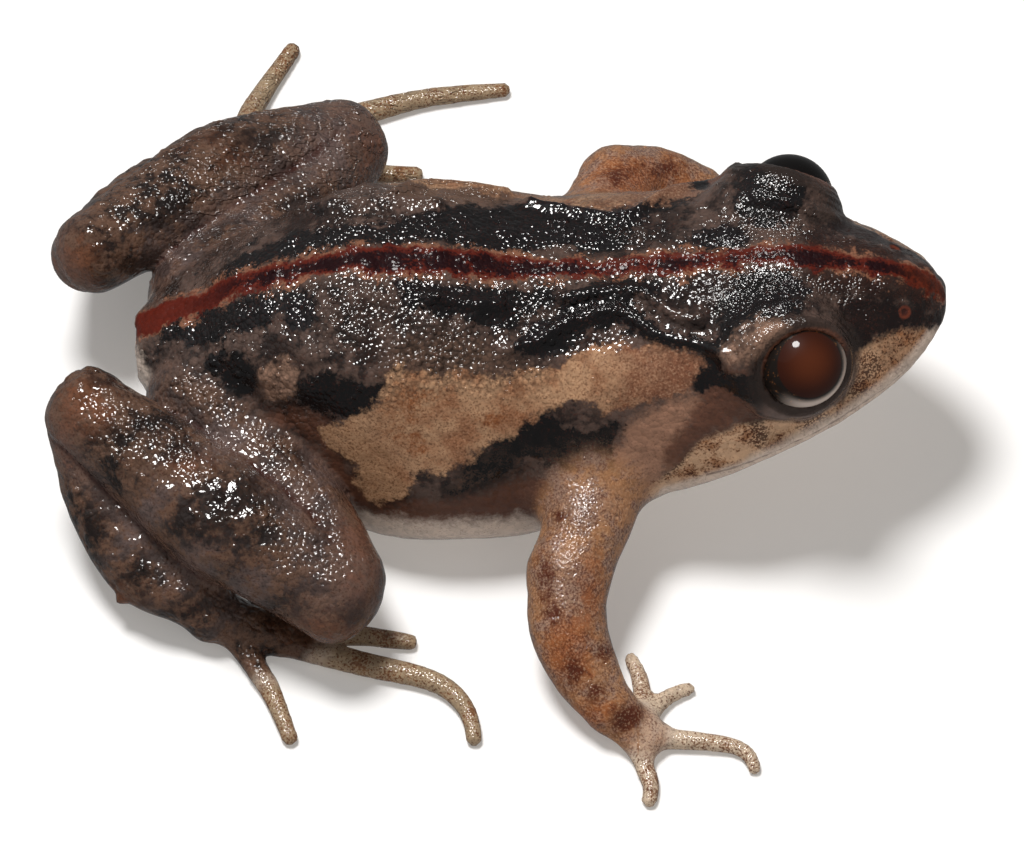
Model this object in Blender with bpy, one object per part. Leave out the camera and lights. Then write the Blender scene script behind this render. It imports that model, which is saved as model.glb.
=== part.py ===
"""A Florence's dwarf swamp frog, Pseudopaludicola florencei, life size, sitting with its head raised.

The frog faces +X, its left is +Y and +Z is up. It rests on Z = 0, and the origin is on the floor
under the middle of the whole animal. The tables are in millimetres, and the meshes in metres.
"""

import math

import bmesh
import bpy
from mathutils import Matrix, Vector

MM = 0.001

# Driving sizes, in millimetres
SNOUT_VENT_LENGTH = 15.1
SNOUT_X = 8.34
VENT_X = SNOUT_X - SNOUT_VENT_LENGTH
JOINT_GAP = 0.27
EYE_GAP = 0.15
FLOOR_SINK = 0.04
EYE_RADIUS = 0.78
EYE_CENTRE = (5.50, 1.82, 4.42)
LID_RADIUS = 1.08
LID_CENTRE = (5.44, 1.70, 4.34)
LID_MARGIN = 0.30
LID_REAR_RADIUS = 0.88
LID_REAR_CENTRE = (4.80, 1.60, 4.30)
GAZE_UP_DEG = 20.0
GAZE_FORWARD_DEG = 16.0
HEAD_TURN = 0.1
NOSTRIL_CENTRE = (7.54, 0.72, 4.46)
NOSTRIL_RADIUS = 0.13
NECK_X = 3.35
NECK_Z = 3.0
HEAD_PITCH_DEG = 12.0
MOUTH_FRONT = (SNOUT_X, 3.58)
MOUTH_CORNER = (3.9, 2.45)

# Numbers of faces. Each ball has (segments, rings).
RING_SIDES = 32
RINGS_PER_SPAN = 2
LIMB_SIDES = 16
SLENDER_SIDES = 12
DIGIT_SIDES = 8
LIMB_RINGS_PER_SPAN = 2
EYE_FACES = (20, 12)
REAR_LID_FACES = (16, 10)
NOSTRIL_FACES = (8, 6)
SHARP_EDGE_DEG = 40.0

# The rounded end of a limb piece: its reach as a share of the least half width, and the angles
# at which its rings stand round that end
END_REACH = 0.8
END_RING_ANGLES_DEG = (35.0, 65.0)

# Cutters reach well past the whole animal
CUTTER_SIZE = 40.0

# The trunk and head, as upright sections from vent to snout. Each holds its place along the body,
# the height of the back, the dorsal ridge, the widest line of the flank or lip, the lower flank or
# jaw edge, each as (half width, height), and the height of the belly or throat.
BODY_SECTIONS = (
    (-6.62, 2.85, (0.50, 2.70), (0.75, 2.20), (0.50, 1.72), 1.55),
    (-6.25, 3.18, (0.85, 2.90), (1.20, 2.10), (0.85, 1.30), 1.05),
    (-5.50, 3.70, (1.18, 3.30), (1.65, 2.10), (1.25, 0.92), 0.60),
    (-4.60, 4.32, (1.48, 3.80), (2.12, 2.00), (1.75, 0.52), 0.15),
    (-3.60, 4.78, (1.80, 4.15), (2.65, 1.85), (2.20, 0.30), -0.04),
    (-2.70, 5.14, (2.02, 4.38), (3.08, 1.75), (2.55, 0.22), -0.06),
    (-1.70, 5.10, (2.15, 4.34), (3.38, 1.70), (2.78, 0.22), -0.06),
    (-0.70, 4.97, (2.18, 4.24), (3.46, 1.68), (2.80, 0.27), -0.04),
    (0.30, 4.78, (2.15, 4.06), (3.36, 1.68), (2.80, 0.28), 0.02),
    (1.30, 4.78, (2.10, 4.05), (3.18, 1.80), (2.62, 0.50), 0.26),
    (2.30, 4.92, (2.06, 4.16), (3.02, 2.00), (2.45, 0.86), 0.66),
    (3.20, 5.02, (2.02, 4.28), (2.99, 2.24), (2.38, 1.26), 1.08),
    (3.90, 5.10, (1.94, 4.40), (3.00, 2.52), (2.36, 1.66), 1.45),
    (4.80, 5.18, (1.76, 4.56), (2.86, 2.84), (2.18, 2.08), 1.88),
    (5.70, 5.18, (1.52, 4.60), (2.56, 3.06), (1.92, 2.40), 2.24),
    (6.50, 5.06, (1.24, 4.52), (2.12, 3.20), (1.58, 2.64), 2.52),
    (7.15, 4.90, (0.98, 4.44), (1.72, 3.36), (1.26, 2.88), 2.78),
    (7.65, 4.70, (0.75, 4.34), (1.30, 3.50), (0.96, 3.08), 3.00),
    (8.02, 4.44, (0.52, 4.22), (0.88, 3.66), (0.64, 3.32), 3.26),
    (8.24, 4.16, (0.30, 4.06), (0.48, 3.78), (0.34, 3.56), 3.53),
)
VENT_Z = 2.15
SNOUT_Z = 3.88

# Each limb piece is a row of stations: place along the body, outward from the middle plane and
# above the floor, then half the width and half the height there.
THIGH = (
    (-5.60, 1.00, 2.15, 1.00, 1.10),
    (-4.45, 2.45, 1.85, 1.08, 1.12),
    (-3.50, 3.80, 1.68, 0.98, 1.02),
    (-2.80, 4.84, 1.62, 0.86, 0.90),
)
SHANK = (
    (-2.86, 4.98, 1.62, 0.82, 0.84),
    (-3.75, 4.48, 1.82, 1.05, 0.98),
    (-5.10, 3.72, 2.18, 1.14, 1.02),
    (-6.50, 2.62, 2.52, 0.92, 0.84),
    (-7.55, 1.72, 2.76, 0.74, 0.72),
)
TARSUS = (
    (-7.66, 1.84, 2.34, 0.58, 0.56),
    (-7.30, 2.98, 1.44, 0.66, 0.60),
    (-6.54, 3.98, 0.88, 0.66, 0.58),
    (-5.76, 4.62, 0.62, 0.56, 0.50),
    (-5.25, 4.90, 0.50, 0.48, 0.44),
)
FOOT_RIGHT = (
    (-5.00, 5.00, 0.40, 0.44, 0.40),
    (-4.50, 5.08, 0.32, 0.56, 0.36),
    (-4.00, 5.16, 0.24, 0.56, 0.28),
)
FOOT_LEFT = (
    (-5.02, 5.16, 0.40, 0.44, 0.40),
    (-4.52, 5.38, 0.32, 0.56, 0.36),
    (-4.02, 5.58, 0.24, 0.56, 0.28),
)
UPPER_ARM_RIGHT = (
    (1.92, 2.40, 1.95, 0.96, 0.92),
    (1.74, 3.50, 1.80, 0.84, 0.80),
    (1.38, 4.60, 1.58, 0.74, 0.72),
)
FOREARM_RIGHT = (
    (1.32, 4.75, 1.55, 0.72, 0.70),
    (1.36, 5.60, 1.18, 0.74, 0.68),
    (1.72, 6.42, 0.80, 0.64, 0.56),
    (2.14, 6.98, 0.56, 0.48, 0.44),
)
HAND_RIGHT = (
    (2.30, 7.10, 0.40, 0.44, 0.40),
    (2.70, 7.32, 0.29, 0.54, 0.33),
    (2.95, 7.44, 0.24, 0.48, 0.28),
)
UPPER_ARM_LEFT = (
    (1.90, 2.40, 1.95, 0.96, 0.92),
    (2.08, 3.25, 1.85, 0.82, 0.80),
    (2.26, 4.00, 1.66, 0.72, 0.72),
)
FOREARM_LEFT = (
    (2.32, 4.14, 1.60, 0.70, 0.70),
    (3.00, 4.32, 1.26, 0.68, 0.66),
    (3.75, 4.30, 0.84, 0.58, 0.55),
    (4.22, 4.20, 0.56, 0.48, 0.44),
)
HAND_LEFT = (
    (4.26, 4.18, 0.40, 0.44, 0.40),
    (4.70, 4.14, 0.29, 0.54, 0.33),
    (4.98, 4.12, 0.24, 0.48, 0.28),
)

# Digits lie on the floor. Each is a path of (along, outward) points from its root to its tip.
TOE_PATHS_RIGHT = (
    ((-4.45, 4.66), (-4.00, 4.34), (-3.50, 4.12), (-3.10, 4.04)),
    ((-4.20, 4.86), (-3.60, 4.62), (-2.90, 4.50), (-2.35, 4.48)),
    ((-3.95, 5.06), (-3.20, 5.08), (-2.40, 5.18), (-1.80, 5.32)),
    ((-4.00, 5.32), (-2.60, 5.72), (-1.38, 6.04), (-0.82, 6.36), (-0.50, 6.84), (-0.40, 7.38)),
    ((-4.66, 5.42), (-4.42, 5.90), (-4.12, 6.50), (-3.82, 7.36)),
)
TOE_PATHS_LEFT = (
    ((-4.45, 4.92), (-4.00, 4.52), (-3.50, 4.20), (-3.05, 4.04)),
    ((-4.20, 5.18), (-3.60, 4.90), (-2.80, 4.66), (-2.20, 4.58)),
    ((-3.95, 5.46), (-3.20, 5.36), (-2.30, 5.26), (-1.50, 5.26)),
    ((-4.00, 5.80), (-3.00, 6.42), (-2.20, 6.74), (-1.39, 6.98), (-0.50, 7.12), (0.16, 7.20)),
    ((-4.74, 5.64), (-4.74, 6.40), (-4.46, 7.08), (-4.10, 7.74), (-3.88, 8.14)),
)
FINGER_PATHS_RIGHT = (
    ((2.62, 7.00), (2.72, 6.48), (2.66, 5.98), (2.50, 5.58)),
    ((2.72, 7.14), (2.92, 6.74), (3.24, 6.42), (3.60, 6.24)),
    ((2.98, 7.36), (3.50, 7.40), (4.30, 7.50), (4.66, 7.68), (4.80, 8.00)),
    ((2.66, 7.62), (2.76, 8.00), (2.87, 8.36), (2.84, 8.72)),
)
FINGER_PATHS_LEFT = (
    ((4.62, 3.82), (4.92, 3.46), (5.20, 3.28), (5.50, 3.22)),
    ((4.95, 3.94), (5.34, 3.74), (5.74, 3.60), (6.06, 3.54)),
    ((5.00, 4.18), (5.40, 4.22), (5.80, 4.18), (6.10, 4.10)),
    ((4.72, 4.42), (4.92, 4.70), (5.16, 4.92), (5.40, 5.04)),
)
DIGIT_ROOT_RADIUS = 0.26
DIGIT_TIP_RADIUS = 0.19
DIGIT_JOINT_SWELL = 0.02

# Colours as linear red, green, blue, with the roughness of wet skin
BACK_BROWN = (0.045, 0.032, 0.024, 0.35)
LEG_BROWN = (0.075, 0.048, 0.034, 0.38)
ARM_TAN = (0.24, 0.12, 0.07, 0.40)
DIGIT_TAN = (0.42, 0.30, 0.20, 0.45)
THROAT_PALE = (0.48, 0.36, 0.28, 0.45)
EYE_DARK = (0.030, 0.012, 0.007, 0.08)


def clear_scene():
    for old in list(bpy.data.objects):
        bpy.data.objects.remove(old)


def material(name, colour):
    """A plain wet-skin finish from a (red, green, blue, roughness) row."""
    skin = bpy.data.materials.new(name)
    skin.use_nodes = True
    shader = skin.node_tree.nodes["Principled BSDF"]
    shader.inputs["Base Color"].default_value = (*colour[:3], 1.0)
    shader.inputs["Roughness"].default_value = colour[3]
    shader.inputs["Metallic"].default_value = 0.0
    skin.diffuse_color = (*colour[:3], 1.0)
    return skin


def spline_rows(rows, steps, closed=False):
    """Rows of numbers along a smooth curve through the given rows, with steps rows per span."""
    count = len(rows)
    spans = count if closed else count - 1
    made = []
    for span in range(spans):
        if closed:
            picks = [rows[(span + k) % count] for k in (-1, 0, 1, 2)]
        else:
            picks = [rows[min(max(span + k, 0), count - 1)] for k in (-1, 0, 1, 2)]
        for step in range(steps):
            made.append(spline_point(picks, step / steps))
    if not closed:
        made.append(tuple(rows[-1]))
    return made


def spline_point(picks, t):
    """The Catmull-Rom blend of four rows at t between the second and the third."""
    blend = (
        (-t + 2 * t**2 - t**3) / 2,
        (2 - 5 * t**2 + 3 * t**3) / 2,
        (t + 4 * t**2 - 3 * t**3) / 2,
        (t**3 - t**2) / 2,
    )
    return tuple(sum(w * row[i] for w, row in zip(blend, picks)) for i in range(len(picks[0])))


def mesh_from_rings(name, rings, start, end):
    """A closed mesh through rings of equal count, with a point at each end."""
    form = bmesh.new()
    loops = [[form.verts.new(point) for point in ring] for ring in rings]
    first = form.verts.new(start)
    last = form.verts.new(end)
    sides = len(loops[0])
    for i in range(sides):
        j = (i + 1) % sides
        form.faces.new((first, loops[0][j], loops[0][i]))
        for near, far in zip(loops, loops[1:]):
            form.faces.new((near[i], near[j], far[j], far[i]))
        form.faces.new((last, loops[-1][i], loops[-1][j]))
    bmesh.ops.recalc_face_normals(form, faces=form.faces)
    return placed(form, name, Matrix.Identity(4))


def section_ring(section):
    """The points of one upright body section, round the frog from the middle of its back."""
    x, back, ridge, flank, lower, belly = section
    right = [(0.0, back), ridge, flank, lower]
    left = [(0.0, belly)] + [(-w, z) for w, z in (lower, flank, ridge)]
    corners = right + left
    outline = spline_rows(corners, RING_SIDES // len(corners), closed=True)
    return [Vector((x, y, z)) * MM for y, z in outline]


def body_form():
    """The trunk, head and jaw as one closed form, before it is parted."""
    flat_rows = [(x, back, *r, *f, *w, belly) for x, back, r, f, w, belly in BODY_SECTIONS]
    rings = []
    for row in spline_rows(flat_rows, RINGS_PER_SPAN):
        rings.append(section_ring((row[0], row[1], row[2:4], row[4:6], row[6:8], row[8])))
    vent = Vector((VENT_X, 0, VENT_Z)) * MM
    snout = Vector((SNOUT_X, 0, SNOUT_Z)) * MM
    return mesh_from_rings("body_form", rings, vent, snout)


def limb_form(name, stations, side, sides=LIMB_SIDES):
    """A limb piece swept along its stations, oval in section, with rounded ends."""
    smooth = spline_rows(stations, LIMB_RINGS_PER_SPAN)
    rows = [(x, side * y, z, w, h) for x, y, z, w, h in smooth]
    centres = [Vector(row[:3]) for row in rows]
    last = len(rows) - 1
    rings = []
    ends = []
    for i, (centre, row) in enumerate(zip(centres, rows)):
        along = (centres[min(i + 1, last)] - centres[max(i - 1, 0)]).normalized()
        across = along.cross(Vector((0, 0, 1))).normalized()
        up = across.cross(along)
        width, height = row[3:]
        ring = []
        for k in range(sides):
            turn = 2 * math.pi * k / sides
            ring.append((across * (width * math.cos(turn)), up * (height * math.sin(turn))))
        if i in (0, last):
            outward = along if i else -along
            reach = min(width, height) * END_REACH
            cap = []
            for angle in END_RING_ANGLES_DEG:
                shift = outward * (reach * math.sin(math.radians(angle)))
                shrink = math.cos(math.radians(angle))
                cap.append([(centre + shift + (a + b) * shrink) * MM for a, b in ring])
            ends.append((cap, (centre + outward * reach) * MM))
        rings.append([(centre + a + b) * MM for a, b in ring])
    (start_cap, start), (end_cap, end) = ends
    return mesh_from_rings(name, start_cap[::-1] + rings + end_cap, start, end)


def digit_form(name, path, side):
    """A finger or toe along its path on the floor, swollen a little at each joint."""
    stations = []
    last = len(path) - 1
    for i, (x, y) in enumerate(path):
        share = i / last
        radius = DIGIT_ROOT_RADIUS + (DIGIT_TIP_RADIUS - DIGIT_ROOT_RADIUS) * share
        swell = DIGIT_JOINT_SWELL if 0 < i < last else 0.0
        half = radius + swell
        stations.append((x, y, half - FLOOR_SINK, half, half))
    return limb_form(name, stations, side, DIGIT_SIDES)


def ball(name, centre, radius, faces=EYE_FACES):
    """A sphere with its place in its mesh."""
    form = bmesh.new()
    segments, rings = faces
    bmesh.ops.create_uvsphere(form, u_segments=segments, v_segments=rings, radius=radius * MM)
    place = Matrix.Translation(Vector(centre) * MM)
    return placed(form, name, place)


def slab(name, point, normal, thickness):
    """A wide slab for cutting, its near face through the point and its thickness along normal."""
    form = bmesh.new()
    bmesh.ops.create_cube(form, size=1.0)
    normal = Vector(normal).normalized()
    middle = (Vector(point) + normal * (thickness / 2)) * MM
    turn = normal.to_track_quat("Z", "Y").to_matrix().to_4x4()
    size = Matrix.Diagonal((CUTTER_SIZE * MM, CUTTER_SIZE * MM, thickness * MM, 1.0))
    return placed(form, name, Matrix.Translation(middle) @ turn @ size)


def placed(form, name, place):
    """An object made from the form, which is moved to its place in the mesh."""
    bmesh.ops.transform(form, matrix=place, verts=form.verts)
    mesh = bpy.data.meshes.new(name)
    form.to_mesh(mesh)
    form.free()
    made = bpy.data.objects.new(name, mesh)
    bpy.context.scene.collection.objects.link(made)
    return made


def copy_of(source, name, grow=0.0):
    """A copy of a form, each point moved out along its normal by grow millimetres."""
    made = source.copy()
    made.data = source.data.copy()
    made.name = name
    bpy.context.scene.collection.objects.link(made)
    if grow:
        normals = [vertex.normal.copy() for vertex in made.data.vertices]
        for vertex, normal in zip(made.data.vertices, normals):
            vertex.co += normal * (grow * MM)
    return made


def remove(objects):
    for old in objects:
        bpy.data.objects.remove(old)


def combine(target, tools, operation):
    """Joins the tools to the target, or cuts them from it, and then removes the tools."""
    group = bpy.data.collections.new("tools")
    bpy.context.scene.collection.children.link(group)
    for tool in tools:
        bpy.context.scene.collection.objects.unlink(tool)
        group.objects.link(tool)
    modifier = target.modifiers.new(operation.lower(), "BOOLEAN")
    modifier.operation = operation
    modifier.operand_type = "COLLECTION"
    modifier.collection = group
    modifier.solver = "EXACT"
    graph = bpy.context.evaluated_depsgraph_get()
    mesh = bpy.data.meshes.new_from_object(target.evaluated_get(graph))
    target.modifiers.clear()
    target.data = mesh
    remove(tools)
    bpy.data.collections.remove(group)


def keep_largest(target):
    """Drops every closed surface but the largest, such as a scrap that a cut leaves."""
    form = bmesh.new()
    form.from_mesh(target.data)
    left = set(form.verts)
    pieces = []
    while left:
        piece = set()
        reached = [left.pop()]
        while reached:
            vertex = reached.pop()
            piece.add(vertex)
            for edge in vertex.link_edges:
                other = edge.other_vert(vertex)
                if other in left:
                    left.remove(other)
                    reached.append(other)
        pieces.append(piece)
    pieces.sort(key=len)
    scraps = [vertex for piece in pieces[:-1] for vertex in piece]
    bmesh.ops.delete(form, geom=scraps, context="VERTS")
    form.to_mesh(target.data)
    form.free()


def neck_cutter(ahead):
    """A slab that cuts away all ahead of the neck, or all behind it, and half of the gap."""
    pitch = math.radians(HEAD_PITCH_DEG)
    forward = Vector((math.cos(pitch), 0, math.sin(pitch)))
    if not ahead:
        forward = -forward
    near = Vector((NECK_X, 0, NECK_Z)) - forward * (JOINT_GAP / 2)
    return slab("neck", near, forward, CUTTER_SIZE)


def mouth_cutter(above):
    """A slab that cuts away all above the line of the mouth, or all below it, and half the gap."""
    rise = MOUTH_FRONT[1] - MOUTH_CORNER[1]
    run = MOUTH_FRONT[0] - MOUTH_CORNER[0]
    upward = Vector((-rise, 0, run)).normalized()
    if not above:
        upward = -upward
    near = Vector((MOUTH_FRONT[0], 0, MOUTH_FRONT[1])) - upward * (JOINT_GAP / 2)
    return slab("mouth", near, upward, CUTTER_SIZE)


def floor_cutter():
    return slab("floor", (0, 0, 0), (0, 0, -1), CUTTER_SIZE)


def finish(node, name, skin):
    """Names a node, gives it its material and shades it smooth."""
    node.name = name
    node.data.name = name
    node.data.materials.clear()
    node.data.materials.append(skin)
    node.data.shade_smooth()
    node.data.set_sharp_from_angle(angle=math.radians(SHARP_EDGE_DEG))
    return node


def fitted(form, name, skin, neighbours):
    """A node: the form less the floor and all that lies within the joint gap of its neighbours."""
    node = copy_of(form, name)
    cutters = [copy_of(other, "clearance", JOINT_GAP) for other in neighbours]
    for cutter in cutters:
        combine(node, [cutter], "DIFFERENCE")
    combine(node, [floor_cutter()], "DIFFERENCE")
    keep_largest(node)
    return finish(node, name, skin)


def build_trunk(body, skins):
    """Parts the one body form into torso, head and lower jaw, with thin gaps between them."""
    torso = copy_of(body, "torso")
    combine(torso, [neck_cutter(ahead=True)], "DIFFERENCE")
    combine(torso, [floor_cutter()], "DIFFERENCE")
    finish(torso, "torso", skins["back"])

    jaw = copy_of(body, "lower_jaw")
    combine(jaw, [neck_cutter(ahead=False)], "DIFFERENCE")
    combine(jaw, [mouth_cutter(above=True)], "DIFFERENCE")
    finish(jaw, "lower_jaw", skins["throat"])

    head = copy_of(body, "head")
    combine(head, [neck_cutter(ahead=False)], "DIFFERENCE")
    combine(head, [mouth_cutter(above=False)], "DIFFERENCE")
    for side in (-1, 1):
        add_lid(head, side)
    cut_sockets(head)
    keep_largest(head)
    finish(head, "head", skins["back"])


def add_lid(head, side):
    """Raises the rounded lid over one eye, open where the eye looks out, and the bulge behind."""
    up, forward = math.radians(GAZE_UP_DEG), math.radians(GAZE_FORWARD_DEG)
    outward = side * math.cos(up) * math.cos(forward)
    gaze = Vector((math.cos(up) * math.sin(forward), outward, math.sin(up)))
    margin = Vector(on_side(EYE_CENTRE, side)) + gaze * LID_MARGIN
    lid = ball("lid", on_side(LID_CENTRE, side), LID_RADIUS)
    combine(lid, [slab("opening", margin, gaze, CUTTER_SIZE)], "DIFFERENCE")
    rear = ball("lid_rear", on_side(LID_REAR_CENTRE, side), LID_REAR_RADIUS, REAR_LID_FACES)
    for bulge in (lid, rear):
        combine(head, [bulge], "UNION")


def cut_sockets(head):
    """Opens each eye socket to the side and each nostril in the end of the snout."""
    for side in (-1, 1):
        socket = ball("socket", on_side(EYE_CENTRE, side), EYE_RADIUS + EYE_GAP)
        combine(head, [socket], "DIFFERENCE")
        pit = ball("nostril", on_side(NOSTRIL_CENTRE, side), NOSTRIL_RADIUS, NOSTRIL_FACES)
        combine(head, [pit], "DIFFERENCE")


def on_side(place, side):
    """A place on the head, on the right where side is -1, with the head turned a little left."""
    x, y, z = place
    return (x - side * HEAD_TURN, side * y, z)


def build_eyes(skins):
    for side, word in ((-1, "right"), (1, "left")):
        eye = ball(f"eye_{word}", on_side(EYE_CENTRE, side), EYE_RADIUS)
        finish(eye, f"eye_{word}", skins["eye"])


def build_leg(side, word, body, foot_stations, toe_paths, skins):
    """One folded hind leg: thigh, shank, tarsus, foot and five toes."""
    thigh = limb_form("thigh_form", THIGH, side)
    shank = limb_form("shank_form", SHANK, side)
    tarsus = limb_form("tarsus_form", TARSUS, side, SLENDER_SIDES)
    foot = limb_form("foot_form", foot_stations, side, SLENDER_SIDES)
    fitted(thigh, f"thigh_{word}", skins["leg"], [body])
    fitted(shank, f"shank_{word}", skins["leg"], [thigh, body])
    fitted(tarsus, f"tarsus_{word}", skins["leg"], [shank])
    fitted(foot, f"foot_{word}", skins["leg"], [tarsus, shank])
    forms = [thigh, shank, tarsus, foot]
    build_digits("toe", side, word, toe_paths, [foot, tarsus, shank, thigh], forms, skins)
    remove(forms)


def build_arm(side, word, body, stations, finger_paths, skins):
    """One foreleg: upper arm, forearm, hand and four fingers."""
    upper = limb_form("upper_form", stations[0], side)
    fore = limb_form("fore_form", stations[1], side)
    hand = limb_form("hand_form", stations[2], side, SLENDER_SIDES)
    fitted(upper, f"upper_arm_{word}", skins["arm"], [body])
    fitted(fore, f"forearm_{word}", skins["arm"], [upper, body])
    fitted(hand, f"hand_{word}", skins["arm"], [fore])
    forms = [upper, fore, hand]
    build_digits("finger", side, word, finger_paths, [hand, fore], forms, skins)
    remove(forms)


def build_digits(kind, side, word, paths, roots, forms, skins):
    """The digits of one hand or foot, each clear of the palm or sole and of the digit before it."""
    before = []
    for number, path in enumerate(paths, start=1):
        form = digit_form("digit_form", path, side)
        fitted(form, f"{kind}_{number}_{word}", skins["digit"], roots + before)
        before = [form]
        forms.append(form)


def centre_on_floor():
    """Moves the nodes so that the origin is on the floor under the middle of their box."""
    meshes = [node.data for node in bpy.context.scene.objects]
    points = [vertex.co for mesh in meshes for vertex in mesh.vertices]
    middle_x = (min(p.x for p in points) + max(p.x for p in points)) / 2
    middle_y = (min(p.y for p in points) + max(p.y for p in points)) / 2
    for mesh in meshes:
        mesh.transform(Matrix.Translation((-middle_x, -middle_y, 0)))


def main():
    clear_scene()
    skins = {
        "back": material("back_skin", BACK_BROWN),
        "leg": material("leg_skin", LEG_BROWN),
        "arm": material("arm_skin", ARM_TAN),
        "digit": material("digit_skin", DIGIT_TAN),
        "throat": material("throat_skin", THROAT_PALE),
        "eye": material("eye_dark", EYE_DARK),
    }
    body = body_form()
    build_trunk(body, skins)
    build_eyes(skins)
    arm_right = (UPPER_ARM_RIGHT, FOREARM_RIGHT, HAND_RIGHT)
    arm_left = (UPPER_ARM_LEFT, FOREARM_LEFT, HAND_LEFT)
    build_leg(-1, "right", body, FOOT_RIGHT, TOE_PATHS_RIGHT, skins)
    build_leg(1, "left", body, FOOT_LEFT, TOE_PATHS_LEFT, skins)
    build_arm(-1, "right", body, arm_right, FINGER_PATHS_RIGHT, skins)
    build_arm(1, "left", body, arm_left, FINGER_PATHS_LEFT, skins)
    remove([body])
    centre_on_floor()


main()
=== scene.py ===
# %% [markdown]
# # Florence's dwarf swamp frog, life size
# This frog is only as long as a fingernail. Its body lies in the frame as plain solids, and here
# it gets its looks: one wet, warty skin over all the flesh solids, and two eyeballs. The frame
# comes first.

# %% The frame
import math
from itertools import product

import bmesh
import bpy
import numpy as np
from mathutils import Matrix, Vector


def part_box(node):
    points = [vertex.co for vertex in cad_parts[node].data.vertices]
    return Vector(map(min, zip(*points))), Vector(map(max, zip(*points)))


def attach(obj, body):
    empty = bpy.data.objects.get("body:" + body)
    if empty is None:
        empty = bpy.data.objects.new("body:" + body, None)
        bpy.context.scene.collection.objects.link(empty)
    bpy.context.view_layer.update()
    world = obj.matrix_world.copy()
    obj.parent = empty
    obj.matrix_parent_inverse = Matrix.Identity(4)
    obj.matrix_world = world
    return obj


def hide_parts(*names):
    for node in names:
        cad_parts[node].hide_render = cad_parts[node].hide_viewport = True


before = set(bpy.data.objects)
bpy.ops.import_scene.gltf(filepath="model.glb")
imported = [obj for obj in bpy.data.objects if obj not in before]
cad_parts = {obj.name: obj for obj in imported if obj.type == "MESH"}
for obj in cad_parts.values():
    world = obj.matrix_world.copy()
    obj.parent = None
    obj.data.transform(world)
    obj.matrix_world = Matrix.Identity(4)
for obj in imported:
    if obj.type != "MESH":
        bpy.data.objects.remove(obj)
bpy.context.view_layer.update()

MM = 0.001
# The middle of the right eye as it was drawn, in millimetres. The frame holds the same eye a
# little further on, and the step between the two carries every drawn point into the frame.
DRAWN_EYE = (5.60, -1.82, 4.42)
eye_low, eye_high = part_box("eye_right")
SHIFT = (eye_low + eye_high) / 2 - Vector(DRAWN_EYE) * MM
print("frame nodes:", len(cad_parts), "shift in mm:", [round(s / MM, 3) for s in SHIFT])

# %% [markdown]
# ## Camera
# The frog was seen from its right side and from well above. A long lens gives a macro picture
# its flat look, so the camera stands 30 cm away. The middle of the picture is a point above the
# floor, and the distance and the lens together decide how many pixels a millimetre takes.

# %% Camera
PICTURE_WIDTH = 1024
PICTURE_HEIGHT = 852
PIXELS_PER_MM = 53.6
ZERO_PIXEL = (496.0, 410.0)
CAMERA_UP_DEG = 57.0
CAMERA_DISTANCE = 0.30
FOCUS_HEIGHT = 2.0

UP_SHARE = math.cos(math.radians(CAMERA_UP_DEG))
BACK_SHARE = math.sin(math.radians(CAMERA_UP_DEG))
picture_up = Vector((0, BACK_SHARE, UP_SHARE))
towards_camera = Vector((0, -UP_SHARE, BACK_SHARE))


def millimetres(pixel_x, pixel_y):
    """A pixel as (right, up) in millimetres from the frog's own zero."""
    return (pixel_x - ZERO_PIXEL[0]) / PIXELS_PER_MM, (ZERO_PIXEL[1] - pixel_y) / PIXELS_PER_MM


def make_camera():
    """The camera that sees the frog as it was seen, set as the scene's own."""
    right, up = millimetres(PICTURE_WIDTH / 2, PICTURE_HEIGHT / 2)
    depth = (FOCUS_HEIGHT - up * UP_SHARE) / BACK_SHARE
    aim = Vector((right, 0, 0)) + picture_up * up + towards_camera * depth
    data = bpy.data.cameras.new("picture")
    data.lens = data.sensor_width * PIXELS_PER_MM / MM * CAMERA_DISTANCE / PICTURE_WIDTH
    data.clip_start = 0.01
    data.clip_end = 10.0
    camera = bpy.data.objects.new("picture", data)
    bpy.context.scene.collection.objects.link(camera)
    camera.location = aim * MM + SHIFT + towards_camera * CAMERA_DISTANCE
    camera.rotation_euler = towards_camera.to_track_quat("Z", "Y").to_euler()
    bpy.context.scene.camera = camera
    return camera


camera = make_camera()
print("lens in mm:", round(camera.data.lens, 1))

# %% [markdown]
# ## Floor and light
# A wet skin shows its lamps: every granule mirrors the brightest one as a tiny spark. A fairly
# small lamp almost overhead makes those sparks and the main light. Two wide ones fill the shadows:
# a dim one high on the tail side, and a warm one low in front, which the skin doesn't mirror. The
# pale floor glows a little and isn't mirrored either, and a dim white surround does the rest. Each
# lamp has its power, width, distance, direction and colour.

# %% Floor and light
FLOOR_WIDTH = 1.2
FLOOR_FINISH = {
    "Base Color": (0.72, 0.72, 0.72, 1), "Roughness": 0.9, "Specular IOR Level": 0.0,
    "Emission Color": (1.0, 0.96, 0.91, 1), "Emission Strength": 0.22,
}
SURROUND = 0.16
LAMPS = {
    "key": (0.31, 0.050, 0.17, (-0.20, 0.24, 0.95), (1.0, 0.985, 0.97)),
    "fill": (0.06, 0.36, 0.30, (-0.62, 0.10, 0.78), (1.0, 1.0, 1.0)),
    "low": (0.47, 0.60, 0.50, (0.50, -0.80, 0.46), (1.0, 0.94, 0.87)),
}
NOT_MIRRORED = ("low",)


def srgb(red, green, blue):
    """A picture colour of 0 to 255 steps as the linear colour that a shader reads."""
    shares = [c / 255 for c in (red, green, blue)]
    return [c / 12.92 if c <= 0.04045 else ((c + 0.055) / 1.055) ** 2.4 for c in shares]


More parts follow.
